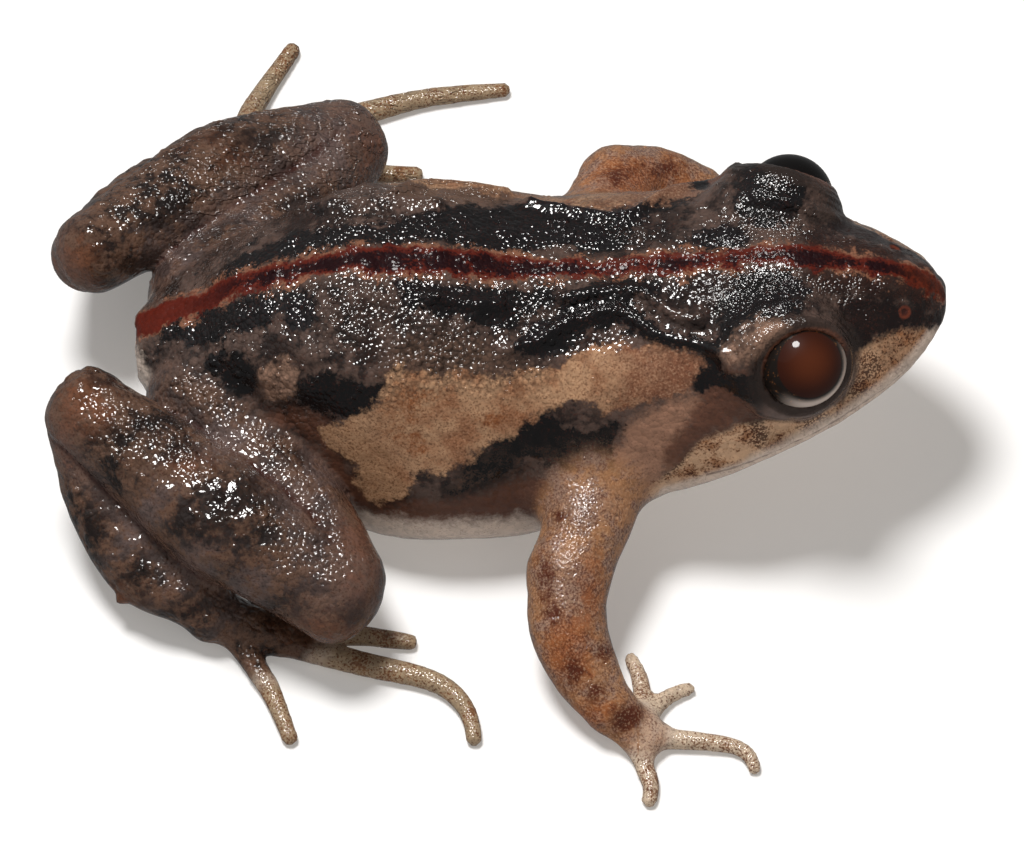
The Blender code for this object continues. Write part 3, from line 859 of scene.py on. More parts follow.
# %% Back measures
def spine_distance(points):
    """Distance from the spine along the skin, and its share of the way to the belly line."""
    place = np.interp(points[:, 0], X_LINES, np.arange(len(X_LINES)))
    middle = np.interp(place, range(len(middle_z)), middle_z)
    angle = np.arctan2(np.abs(points[:, 1]), points[:, 2] - middle)
    turn = angle / math.pi * (ANGLE_COUNT - 1)
    i = np.clip(place.astype(int), 0, len(X_LINES) - 2)
    j = np.clip(turn.astype(int), 0, ANGLE_COUNT - 2)
    u = place - i
    v = turn - j
    path = (spine_paths[i, j] * (1 - u) + spine_paths[i + 1, j] * u) * (1 - v)
    path += (spine_paths[i, j + 1] * (1 - u) + spine_paths[i + 1, j + 1] * u) * v
    full = spine_paths[i, -1] * (1 - u) + spine_paths[i + 1, -1] * u
    return -np.sign(points[:, 1]) * path, path / full


def on_back(pixel_x, pixel_y):
    """A pixel on the trunk or head as (place along the body, distance from the spine)."""
    x, up = millimetres(pixel_x, pixel_y)
    i = int(np.clip(np.searchsorted(X_LINES, x), 0, len(X_LINES) - 1))
    y = section_radii[i] * np.sin(section_angles)
    z = middle_z[i] + section_radii[i] * np.cos(section_angles)
    near = up < UP_SHARE * z[0]
    seen = UP_SHARE * z - BACK_SHARE * y if near else -(UP_SHARE * z + BACK_SHARE * y)
    stop = int(seen.argmin()) + 1
    target = up if near else -up
    path = np.interp(-target, -seen[:stop], spine_paths[i][:stop])
    return x, path if near else -path


# %% Distances from drawn lines
def gap_squared(places, start, stop):
    """The square of the distance of places from a straight run."""
    run = stop - start
    share = np.clip((places - start) @ run / max(run @ run, 1e-12), 0, 1)
    return ((places - start - share[:, None] * run) ** 2).sum(1)


def outline_distance(places, outline):
    """Distance of places from a closed outline, less than zero inside it."""
    closed = smooth_rows(outline, 4, closed=True)
    nearest = np.full(len(places), np.inf)
    inside = np.zeros(len(places), bool)
    for start, stop in zip(closed, np.roll(closed, -1, 0)):
        nearest = np.minimum(nearest, gap_squared(places, start, stop))
        spans = (start[1] > places[:, 1]) != (stop[1] > places[:, 1])
        run = stop - start
        if run[1]:
            crossing = run[0] * (places[:, 1] - start[1]) / run[1] + start[0]
            inside ^= spans & (places[:, 0] < crossing)
    return np.where(inside, -1, 1) * np.sqrt(nearest)


def path_distance(places, path):
    """Distance of places from an open path."""
    curve = smooth_rows(path, 4)
    gaps = [gap_squared(places, start, stop) for start, stop in zip(curve, curve[1:])]
    return np.sqrt(np.minimum.reduce(gaps))


# %% Where each point lies
across, round_share = spine_distance(base_points)
back_places = np.stack([base_points[:, 0], across], 1)
mirrored_places = np.stack([base_points[:, 0], -across], 1)
limb_share = {kind: sample(shares, base_points) for kind, shares in kind_shares.items()}
# The foot is as dark as the leg, so the roots of the toes near the ankle count as leg.
ANKLE = (-4.9, 5.05)
ankle_gap = np.hypot((base_points[:, 0] - ANKLE[0]) * 0.65, np.abs(base_points[:, 1]) - ANKLE[1])
on_foot = limb_share["digit"] * falling(ankle_gap, 1.6, 1.0) * (base_points[:, 0] < 0)
limb_share["digit"] = limb_share["digit"] - on_foot
limb_share["hind"] = limb_share["hind"] + on_foot
trunk_share = np.clip(1 - sum(limb_share.values()), 0, 1)
print("trunk points:", int((trunk_share > 0.5).sum()))

# %% [markdown]
# ## The marks
# The outlines below are drawn in pixels, with only the points that their shapes need.
# The right side was seen from the spine down to the lip, so its marks are mirrored to the left
# flank. Close to the spine, the left side has marks of its own.

# %% Marks of the trunk and head
TAN_PATCH = (
    (321, 435), (345, 420), (372, 408), (386, 386), (400, 371), (450, 376), (507, 374), (544, 371),
    (573, 358), (603, 346), (647, 346), (702, 358), (693, 374), (682, 393), (640, 404), (612, 414),
    (586, 404), (560, 406), (530, 422), (482, 450), (449, 473), (424, 470), (410, 492), (370, 500),
    (352, 468),
)
BLACK_RIGHT = (
    ((395, 280), (449, 286), (487, 289), (530, 291), (560, 300), (530, 318), (500, 332), (461, 323),
     (423, 313), (402, 296)),
    ((512, 342), (530, 325), (555, 312), (575, 292), (597, 281), (635, 278), (668, 281), (655, 296),
     (632, 301), (645, 318), (665, 330), (690, 336), (718, 338), (714, 353), (690, 352), (665, 349),
     (640, 337), (615, 326), (590, 333), (565, 352), (545, 360), (520, 359)),
    ((733, 277), (745, 271), (763, 268), (791, 268), (795, 279), (807, 288), (811, 294), (803, 306),
     (791, 314), (769, 320), (749, 324), (733, 338), (722, 355), (710, 348), (718, 328), (726, 320),
     (720, 308), (724, 296)),
    ((726, 366), (740, 364), (759, 357), (773, 343), (783, 334), (779, 344), (765, 360), (761, 377),
     (765, 396), (749, 398), (735, 388), (720, 383), (700, 391), (690, 383), (702, 370), (714, 360)),
    ((700, 352), (720, 336), (738, 330), (726, 352), (728, 374), (706, 388), (690, 380)),
    ((155, 312), (200, 306), (240, 300), (273, 292), (280, 312), (262, 330), (225, 338), (190, 345),
     (160, 338)),
    ((280, 298), (300, 292), (318, 300), (316, 322), (296, 330), (282, 318)),
    ((293, 384), (320, 372), (350, 378), (393, 384), (380, 404), (372, 418), (345, 420), (318, 412),
     (300, 402)),
    ((498, 430), (520, 412), (548, 408), (562, 424), (590, 430), (612, 420), (622, 424), (612, 442),
     (604, 468), (575, 470), (548, 458), (522, 456), (505, 470), (480, 482), (450, 492), (470, 462)),
    ((205, 360), (228, 352), (250, 362), (262, 384), (245, 392), (222, 382)),
)
BLACK_LEFT = (
    ((196, 290), (228, 268), (262, 246), (300, 232), (345, 226), (385, 224), (430, 214), (470, 205),
     (505, 214), (535, 230), (545, 246), (520, 260), (485, 260), (455, 248), (420, 242), (385, 247),
     (340, 252), (300, 262), (255, 274), (220, 287)),
    ((500, 205), (540, 204), (580, 213), (612, 222), (634, 224), (628, 242), (600, 250), (560, 248),
     (520, 244), (500, 238)),
    ((690, 236), (718, 226), (745, 230), (752, 245), (725, 252), (700, 251)),
    ((573, 212), (600, 214), (628, 214), (648, 202), (668, 194), (705, 188), (706, 197), (675, 206),
     (650, 214), (628, 226), (600, 224)),
    ((733, 188), (748, 170), (775, 162), (804, 168), (809, 208), (790, 228), (756, 230), (736, 212)),
)

# %% Smaller marks
BROWN = (
    ((700, 392), (706, 372), (724, 362), (748, 358), (760, 372), (765, 396), (762, 410), (735, 418),
     (712, 432), (692, 446), (672, 462), (664, 456), (680, 430), (692, 408)),
    ((250, 420), (300, 408), (330, 424), (352, 470), (372, 500), (352, 512), (330, 470), (300, 430)),
    ((376, 512), (410, 500), (455, 500), (500, 486), (545, 476), (545, 505), (500, 516), (440, 522),
     (390, 524)),
)
CANTHAL_BAND = (
    (834, 312), (846, 298), (875, 299), (900, 305), (925, 309), (942, 318), (936, 326), (915, 330),
    (898, 332), (872, 338), (850, 346), (842, 334),
)
TAN_EDGE = (
    (372, 408), (384, 372), (398, 345), (440, 336), (480, 340), (512, 352), (540, 366), (560, 372),
    (540, 392), (470, 396), (410, 402),
)
SHOULDER_PATCH = (
    (596, 500), (606, 462), (626, 428), (650, 404), (690, 394), (702, 402), (690, 424), (676, 448),
    (664, 470), (652, 488), (640, 500), (600, 510),
)
SNOUT_PATCH = (
    (800, 262), (830, 240), (880, 240), (935, 268), (945, 300), (936, 316), (905, 304), (870, 296),
    (836, 298), (812, 290),
)
PALE_SPOTS = (
    ((724, 356), (729, 340), (745, 328), (768, 322), (786, 324), (778, 336), (762, 346), (744, 358),
     (732, 362)),
    ((262, 372), (280, 360), (296, 368), (294, 392), (278, 402), (266, 392)),
)

# %% Lips and ridges
LIP_BARS = (
    ((862, 362), (872, 358), (877, 367), (871, 376), (862, 373)),
    ((850, 384), (859, 378), (868, 386), (865, 396), (853, 395)),
    ((804, 420), (818, 413), (828, 418), (820, 428), (806, 430)),
    ((748, 432), (756, 424), (763, 432), (756, 445)),
    ((664, 462), (674, 446), (684, 444), (678, 462), (666, 474)),
)
LIP_LINE = (
    (640, 484), (665, 474), (700, 440), (745, 421), (800, 415), (843, 400), (853, 352), (880, 337),
    (915, 331), (940, 320),
)
RIDGES_RIGHT = (
    ((505, 352), (540, 340), (572, 322), (600, 312), (628, 314), (655, 335), (690, 343), (722, 350)),
    ((560, 300), (600, 292), (640, 292), (668, 312), (700, 322)),
    ((430, 300), (470, 306), (500, 306)),
)
RIDGES_LEFT = (
    ((530, 205), (573, 213), (626, 217), (664, 198), (705, 190), (740, 192)),
    ((395, 196), (430, 186), (470, 190), (505, 196)),
    ((300, 214), (350, 205), (395, 204), (440, 208)),
)
MARKS = {
    "tan": (TAN_PATCH,), "tan_edge": (TAN_EDGE,), "brown": BROWN, "canthal": (CANTHAL_BAND,),
    "shoulder": (SHOULDER_PATCH,), "snout": (SNOUT_PATCH,), "spots": PALE_SPOTS, "bars": LIP_BARS,
}
print("outlines:", len(BLACK_RIGHT) + len(BLACK_LEFT) + sum(len(drawn) for drawn in MARKS.values()))


# %% Distances to the marks
HIDDEN_FROM = 2.6
THROAT_FROM_X = 2.6
JAW_FROM_X = 3.0
INSIDE = -2.0
LEFT_SPOTS_SHRINK = 0.3


def marked(outlines, places):
    """Distance of places to the nearest of several outlines, less than zero inside one."""
    drawn = [np.array([on_back(*pixel) for pixel in outline]) for outline in outlines]
    return np.minimum.reduce([outline_distance(places, outline) for outline in drawn])


right = across > 0
black = np.where(right, marked(BLACK_RIGHT, back_places), marked(BLACK_LEFT, back_places))
black_mirror = marked(BLACK_RIGHT, mirrored_places)
hidden = rising(-across, HIDDEN_FROM, 0.4)
black = black * (1 - hidden) + black_mirror * hidden
both_sides = np.stack([base_points[:, 0], np.abs(across)], 1)
marks = {name: marked(outlines, both_sides) for name, outlines in MARKS.items()}
marks["spots"] += np.where(right, 0, LEFT_SPOTS_SHRINK)
lip_drawn = np.array([on_back(*pixel) for pixel in LIP_LINE])
lip = np.abs(across) - np.interp(base_points[:, 0], lip_drawn[:, 0], lip_drawn[:, 1])
lip = np.where(base_points[:, 0] < THROAT_FROM_X, INSIDE, lip)

# The farthest row that the camera saw of each section is where the pale underside begins.
seen_edges = []
for middle, radius, path in zip(middle_z, section_radii, spine_paths):
    height = UP_SHARE * (middle + radius * np.cos(section_angles))
    seen_edges.append(path[(height - BACK_SHARE * radius * np.sin(section_angles)).argmin()])
past_edge = np.abs(across) - np.interp(base_points[:, 0], X_LINES, seen_edges)
jaw_edge = np.where(base_points[:, 0] > JAW_FROM_X, past_edge, INSIDE)
past_edge = np.where(base_points[:, 0] > THROAT_FROM_X, INSIDE, past_edge)
print("black share of the trunk:", round(float((black[trunk_share > 0.5] < 0).mean()), 2))

# %% [markdown]
# ## Marks of the limbs
# The limbs were seen from above, so their marks are ovals laid on them from the picture: the
# middle, the two half lengths and the turn of each. Every kind of colour has its own list.

# %% Ovals on the limbs
DARK_OVALS = (
    (162, 436, 38, 20, 8), (230, 506, 54, 36, 22), (108, 376, 9, 7, 0), (98, 518, 16, 24, -20),
    (146, 573, 14, 16, 0), (194, 608, 18, 10, 20), (300, 604, 12, 6, 0), (348, 612, 14, 7, 0),
    (290, 450, 22, 13, 25), (268, 470, 26, 12, 30), (318, 536, 5, 16, 0), (138, 266, 20, 13, -5),
    (258, 140, 34, 18, -15), (282, 168, 13, 20, 20), (186, 217, 38, 20, -25), (300, 202, 28, 15, -10),
    (225, 225, 22, 10, -25), (545, 577, 8, 22, 8), (571, 668, 8, 17, -10), (605, 649, 9, 8, 0),
    (628, 716, 17, 12, 35), (558, 515, 5, 4, 0), (553, 613, 8, 10, 0), (594, 690, 8, 7, 0),
    (683, 741, 10, 6, 10), (749, 762, 7, 6, 45), (649, 795, 6, 12, 0), (620, 175, 18, 8, 20),
    (664, 166, 16, 7, 0),
)
MAUVE_OVALS = (
    (232, 440, 30, 17, 20), (322, 474, 13, 18, -20), (150, 512, 12, 34, -38), (196, 560, 16, 40, -48),
    (252, 222, 18, 14, -30), (320, 152, 22, 24, 0), (180, 255, 26, 12, -25), (580, 505, 24, 14, 0),
    (300, 500, 16, 12, 0), (250, 590, 14, 34, -50), (575, 590, 18, 30, 0),
)
ORANGE_OVALS = (
    (364, 530, 15, 50, -8), (66, 432, 9, 13, 0), (90, 404, 24, 20, -20), (326, 626, 26, 12, 0),
    (376, 160, 12, 26, 0), (72, 268, 18, 22, 0), (590, 590, 10, 26, 0), (192, 466, 16, 7, -10),
    (236, 150, 20, 10, -20), (568, 648, 24, 34, 0), (640, 175, 50, 22, 0), (590, 715, 20, 14, 30),
    (500, 90, 12, 6, 0), (420, 98, 14, 6, 0), (284, 78, 8, 10, 0), (122, 600, 8, 7, 0),
)


def oval_distance(places, ovals):
    """Distance to the nearest oval, in millimetres, less than zero inside one."""
    nearest = np.full(len(places), FAR)
    for pixel_x, pixel_y, half_x, half_y, turn in ovals:
        middle = np.array(millimetres(pixel_x, pixel_y))
        angle = math.radians(turn)
        offset = places - middle
        a = offset[:, 0] * math.cos(angle) + offset[:, 1] * math.sin(angle)
        b = offset[:, 1] * math.cos(angle) - offset[:, 0] * math.sin(angle)
        half = np.array((half_x, half_y)) / PIXELS_PER_MM
        value = np.hypot(a / half[0], b / half[1])
        nearest = np.minimum(nearest, (value - 1) * half.min())
    return nearest


seen_places = np.stack(
    [base_points[:, 0], base_points[:, 1] * BACK_SHARE + base_points[:, 2] * UP_SHARE], 1
)
off_trunk = 3.0 * np.clip(trunk_share - 0.35, 0, 1)
LIMB_MARKS = {"limb_dark": DARK_OVALS, "limb_mauve": MAUVE_OVALS, "limb_orange": ORANGE_OVALS}
for name, ovals in LIMB_MARKS.items():
    marks[name] = oval_distance(seen_places, ovals) + off_trunk
print("dark share of the limbs:", round(float((marks["limb_dark"] < 0).mean()), 2))

# %% [markdown]
# ## Warts, folds and ridges
# The skin is raised in low warts of all sizes. A jittered lattice of points gives each wart its
# middle and its size, and every point of the skin rises by its distance to the nearest one.
# Raised folds follow drawn lines on the back, and rings round each eye fold the lids.


# %% Lattice noise
def lattice_value(i, j, k, seed):
    """A repeatable value from 0 to 1 for each lattice cell."""
    mixed = (i * 73856093) ^ (j * 19349663) ^ (k * 83492791) ^ (seed * 2654435761)
    mixed = (mixed ^ (mixed >> 13)) * 1274126177 & 0xFFFFFFFF
    return ((mixed ^ (mixed >> 16)) & 0xFFFFFF) / 0xFFFFFF


def nearest_wart(points, spacing, seed):
    """Distance to the nearest wart as a share of the spacing, and that wart's own value."""
    scaled = points / spacing
    cell = np.floor(scaled).astype(np.int64)
    nearest = np.full(len(points), np.inf)
    value = np.zeros(len(points))
    for step in product((-1, 0, 1), repeat=3):
        cells = (cell + step).T
        middle = np.stack(
            [cells[n] + 0.15 + 0.7 * lattice_value(*cells, seed + n) for n in range(3)], 1
        )
        gap = np.linalg.norm(scaled - middle, axis=1)
        closer = gap < nearest
        nearest[closer] = gap[closer]
        value[closer] = lattice_value(*cells, seed + 7)[closer]
    return nearest, value


def soft_noise(points, spacing, seed):
    """Smooth noise from -1 to 1."""
    scaled = points / spacing
    cell = np.floor(scaled).astype(np.int64)
    share = scaled - cell
    share = share * share * (3 - 2 * share)
    total = np.zeros(len(points))
    for corner in CORNERS:
        total += corner_weight(corner, share.T) * lattice_value(*(cell + corner).T, seed)
    return total * 2 - 1


# %% Raise the warts
WART_SPACING = 0.46
WART_HEIGHT = 0.065
SMALL_WART_SPACING = 0.26
SMALL_WART_HEIGHT = 0.032
ROLL_HEIGHT = 0.065
ROLL_SPACING = 1.1
WART_SEED = 11
SMALL_WART_SEED = 41
ROLL_SEED = 5

upper = np.clip(1.15 - 1.5 * round_share, 0, 1) * trunk_share
upper += 0.9 * limb_share["hind"] * np.clip(0.35 + 0.65 * normals[:, 2], 0, 1)
upper += 0.55 * limb_share["fore"] * np.clip(0.4 + 0.6 * normals[:, 2], 0, 1)
wart_gap, wart_value = nearest_wart(base_points, WART_SPACING, WART_SEED)
warts = np.clip(1 - (wart_gap / (0.42 + 0.25 * wart_value)) ** 2, 0, 1) ** 1.5 * (0.3 + wart_value)
small_gap, small_value = nearest_wart(base_points, SMALL_WART_SPACING, SMALL_WART_SEED)
small_warts = np.clip(1 - (small_gap / 0.6) ** 2, 0, 1) * (0.4 + 0.6 * small_value)
rough = upper * (1 - 0.6 * within(marks["tan"], 0.2))
low_black = within(black, 0.2) * rising(np.abs(across), 1.3, 0.4) * trunk_share
rough *= 1 - 0.6 * low_black
rise = rough * (WART_HEIGHT * warts + SMALL_WART_HEIGHT * small_warts)
rise += ROLL_HEIGHT * (0.3 + upper) * soft_noise(base_points, ROLL_SPACING, ROLL_SEED)
print("mean wart rise in mm:", round(float(rise.mean()), 4))

# %% Raise the ridges of the back
RIDGE_HEIGHT = 0.15
RIDGE_HALF_WIDTH = 0.13
ridges = np.zeros(len(points))
for paths, places, keep in (
    (RIDGES_RIGHT, back_places, right),
    (RIDGES_RIGHT, mirrored_places, ~right & (across < -HIDDEN_FROM)),
    (RIDGES_LEFT, back_places, ~right),
):
    for path in paths:
        gap = path_distance(places, np.array([on_back(*pixel) for pixel in path]))
        ridges = np.maximum(ridges, bell(gap, RIDGE_HALF_WIDTH) * keep * trunk_share)
rise += RIDGE_HEIGHT * ridges
print("ridge points:", int((ridges > 0.5).sum()))

# %% Fold the lids
FOLD_ANGLES_DEG = (81.0, 104.0, 126.0)
FOLD_HEIGHTS = (0.030, 0.040, 0.008)
FOLD_HALF_DEG = 7.0
FOLD_REACH = 1.38
GROOVE_AFTER_DEG = 11.0
GROOVE_HALF_DEG = 5.0
GROOVE_SHARE = 0.7
RIM_REACH = 1.06
RIM_DEG = 84.0
SMOOTH_REACH = 1.12
SMOOTH_DEG = 100.0
eye_folds = np.zeros(len(points))
rim_share = np.zeros(len(points))
lid_angle = np.full(len(points), 180.0)
lid_near = np.zeros(len(points))
lid_up = np.zeros(len(points))
eye_gap = np.full(len(points), FAR)
for side in SIDES.values():
    offset = base_points - on_side(EYE_CENTRE, side)
    away = np.linalg.norm(offset, axis=1)
    angle = np.degrees(np.arccos(np.clip(offset @ gaze(side) / away, -1, 1)))
    near = falling(away, FOLD_REACH, 0.2)
    this_side = base_points[:, 1] * side > 0
    lid_angle = np.where(this_side, angle, lid_angle)
    lid_near = np.maximum(lid_near, near)
    for fold, height in zip(FOLD_ANGLES_DEG, FOLD_HEIGHTS):
        eye_folds += near * height * bell(angle - fold, FOLD_HALF_DEG)
        groove = bell(angle - fold - GROOVE_AFTER_DEG, GROOVE_HALF_DEG)
        eye_folds -= near * height * GROOVE_SHARE * groove
    rim_share += falling(away, RIM_REACH, 0.06) * (angle < RIM_DEG)
    eye_gap = np.minimum(eye_gap, away - EYE_RADIUS)
    lid_up = np.where(this_side, offset[:, 2] / away, lid_up)
    rise *= 1 - falling(away, SMOOTH_REACH, 0.1) * (angle < SMOOTH_DEG)
rise += eye_folds
print("highest lid fold in mm:", round(float(eye_folds.max()), 3))

# %% [markdown]
# ## The mouth line
# The mouth is a long closed line from the tip of the snout to below the back of the eye. The
# upper lip swells a little over it, and the skin is pinched in along it. The creases of the folded
# legs are pinched in the same way, and nothing rises where the frog rests on the floor.

# %% Pinch the mouth
MOUTH_FRONT = (8.34, 3.58)
MOUTH_CORNER = (3.9, 2.45)
MOUTH_DEPTH = 0.05
MOUTH_HALF_WIDTH = 0.055
LIP_SWELL = 0.04
LIP_ABOVE = 0.16
LIP_HALF_WIDTH = 0.12
CREASE_DEPTH = 0.07
CREASE_HALF_WIDTH = 0.11
CREASE_SMOOTH = 0.3
RESTING_BELOW = 0.03
mouth_slope = (MOUTH_FRONT[1] - MOUTH_CORNER[1]) / (MOUTH_FRONT[0] - MOUTH_CORNER[0])
mouth_line = MOUTH_FRONT[1] + mouth_slope * (base_points[:, 0] - MOUTH_FRONT[0])
mouth_gap = (base_points[:, 2] - mouth_line) / math.hypot(1, mouth_slope)
mouth_share = rising(base_points[:, 0], MOUTH_CORNER[0], 0.5)
rise -= MOUTH_DEPTH * mouth_share * bell(mouth_gap, MOUTH_HALF_WIDTH)
rise += LIP_SWELL * mouth_share * bell(mouth_gap - LIP_ABOVE, LIP_HALF_WIDTH)
crease = sample(crease_gap, base_points)
rise *= 1 - bell(crease, CREASE_SMOOTH)
rise -= CREASE_DEPTH * bell(crease, CREASE_HALF_WIDTH)
touching = base_points[:, 2] < RESTING_BELOW
points = base_points + normals * np.where(touching, 0, rise)[:, None]
points[:, 2] = np.maximum(points[:, 2], 0)
print("highest rise in mm:", round(float(rise.max()), 3), "lowest:", round(float(rise.min()), 3))

# %% [markdown]
# ## Where granules stand
# Granules crowd on the back and the upper side of the legs and thin out towards the belly. They
# stay off the creases, the lids and the ridges, gather along the upper edge of the tan, and come
# in loose groups. The same numbers say how large they are, and how strongly the finish roughens
# the skin between them.

# %% Share and size of the granules
CLUSTER_SPACING = 0.75
CLUSTER_SEED = 23
RELIEF_SPACING = 0.8
RELIEF_SEED = 31
EYE_CLEAR = 1.02

spine_gap = np.abs(across)
on_tan = within(marks["tan"], 0.2) * trunk_share
on_head = rising(base_points[:, 0], 3.6, 1.2)
granular = np.clip(upper, 0, 1) * rising(normals[:, 2], -0.25, 0.4)
granular *= rising(crease, 0.06, 0.2) * (1 - rim_share)
granular *= 1 - rising(limb_share["digit"], 0.2, 0.3)
granular *= (1 - 0.8 * ridges) * np.clip((spine_gap - 0.22) / 0.3, 0.05, 1)
groups = soft_noise(base_points, CLUSTER_SPACING, CLUSTER_SEED)
granular *= np.clip(0.55 + 1.6 * groups, 0.1, 1)
granular *= 1 - 0.45 * np.clip(limb_share["hind"], 0, 1)
granular *= np.clip((2.9 - spine_gap) / 0.5, 1 - trunk_share, 1) * rising(base_points[:, 2], 0.4, 0.4)
granular *= (1 - 0.35 * on_tan) * (1 - 0.25 * on_head) * (1 - 0.5 * limb_share["fore"])
at_tan_edge = within(marks["tan_edge"], 0.4) * trunk_share * right
granular = np.maximum(granular, 0.75 * at_tan_edge)
for side in SIDES.values():
    away = np.linalg.norm(base_points - on_side(EYE_CENTRE, side), axis=1)
    granular *= rising(away, EYE_CLEAR, 0.12)
granule_size = 1 - 0.48 * on_head + 0.15 * limb_share["hind"]
granule_size -= 0.40 * limb_share["fore"] + 0.35 * on_tan
print("mean share of granules:", round(float(granular.mean()), 2))

# %% Strength of the fine relief
by_stripe = falling(spine_gap, 0.45, 0.2) * trunk_share
far_side = rising(-across, 0.3, 0.5)
finer = np.maximum(on_head * (1 - 0.7 * by_stripe), np.clip(limb_share["fore"] * 1.5, 0, 1))
relief = np.clip(rough, 0, 1) ** (1 + 0.35 * trunk_share) * (1 - 0.1 * on_head) + 0.8 * at_tan_edge
relief *= 1 - 0.4 * low_black
relief *= 1 - 0.3 * far_side * rising(base_points[:, 0], 5.4, 0.8)
relief *= 1 - 0.45 * by_stripe
wet_groups = soft_noise(base_points, RELIEF_SPACING, RELIEF_SEED)
on_legs = np.clip(1 + limb_share["hind"] * (0.9 * wet_groups - 0.1), 0.3, 1.3)
relief *= np.clip(0.92 + 0.5 * wet_groups, 0.5, 1.3) * on_legs
print("mean relief:", round(float(relief.mean()), 2))

# %% [markdown]
# ## One skin
# The points and faces become one mesh. Every number that the finish needs is kept on the points,
# under its own name, so no picture has to be wrapped round the frog.


# %% Make the skin
def make_mesh(name, points, faces):
    """A mesh from plain lists of points and faces, shaded smooth, as an object in the scene."""
    mesh = bpy.data.meshes.new(name)
    mesh.vertices.add(len(points))
    mesh.vertices.foreach_set("co", (points * MM + np.array(SHIFT)).ravel())
    mesh.loops.add(faces.size)
    mesh.loops.foreach_set("vertex_index", faces.ravel())
    mesh.polygons.add(len(faces))
    mesh.polygons.foreach_set("loop_start", np.arange(0, faces.size, faces.shape[1]))
    mesh.update(calc_edges=True)
    mesh.validate()
    mesh.shade_smooth()
    made = bpy.data.objects.new(name, mesh)
    bpy.context.scene.collection.objects.link(made)
    return made


def keep_numbers(piece, **numbers):
    """Keeps one number for each point of a piece, for its material to read."""
    for name, values in numbers.items():
        kept = piece.data.attributes.new(name, "FLOAT", "POINT")
        kept.data.foreach_set("value", np.asarray(values, np.float32))


nostril_gap = np.minimum.reduce(
    [np.linalg.norm(base_points - on_side(NOSTRIL_FLOOR, s), axis=1) for s in SIDES.values()]
)
skin = make_mesh("skin", points, faces)
keep_numbers(
    skin, across=across, round_share=round_share, black=black, lip=lip, past_edge=past_edge,
    jaw_edge=jaw_edge, crease=crease, toe=falling(base_points[:, 0], 1.2, 0.3), rim=rim_share,
    wart=warts * 0.6 + small_warts * 0.4, mouth=np.where(mouth_share > 0, mouth_gap, 1),
    nostril=nostril_gap, lid_angle=lid_angle, lid_near=lid_near, lid_up=lid_up, eye_gap=eye_gap,
    granular=granular, granule_size=granule_size, relief=relief, finer=finer,
    **limb_share, **marks,
)
print("skin:", len(skin.data.vertices), "points", len(skin.data.polygons), "faces")

# %% [markdown]
# ## The skin's finish
# One shader colours the whole skin. It mixes plain colours by the numbers kept on the points. A
# mark drawn as an outline would have a clean edge, so noise pushes each number up and down before
# it is compared with its limit, and the edge turns ragged. The sums are written with ordinary
# signs, and each sign becomes one Math node.


# %% Sums with ordinary signs
class Number:
    """A number in a shader. Each sign between two of them adds a Math node."""

    def __init__(self, shader, socket):
        self.shader = shader
        self.socket = socket

    def __add__(self, other):
        return self.shader.math("ADD", self, other)

    def __sub__(self, other):
        return self.shader.math("SUBTRACT", self, other)

    def __rsub__(self, other):
        return self.shader.math("SUBTRACT", other, self)

    def __mul__(self, other):
        return self.shader.math("MULTIPLY", self, other)

    def __pow__(self, other):
        return self.shader.math("POWER", self, other)

    def __abs__(self):
        return self.shader.math("ABSOLUTE", self)


# %% Adding nodes
def join(tree, socket, value):
    """Links another node to a socket, or sets the socket to a plain value."""
    if isinstance(value, Number):
        value = value.socket
    if isinstance(value, bpy.types.NodeSocket):
        tree.links.new(value, socket)
    elif isinstance(value, (list, tuple)) and socket.type == "RGBA":
        socket.default_value = (*value, 1)
    else:
        socket.default_value = value


def add_node(tree, kind, inputs=(), **settings):
    """Adds a node with its settings made and its inputs joined."""
    made = tree.nodes.new(kind)
    for name, value in settings.items():
        setattr(made, name, value)
    for key, value in dict(inputs).items():
        join(tree, made.inputs[key], value)
    return made


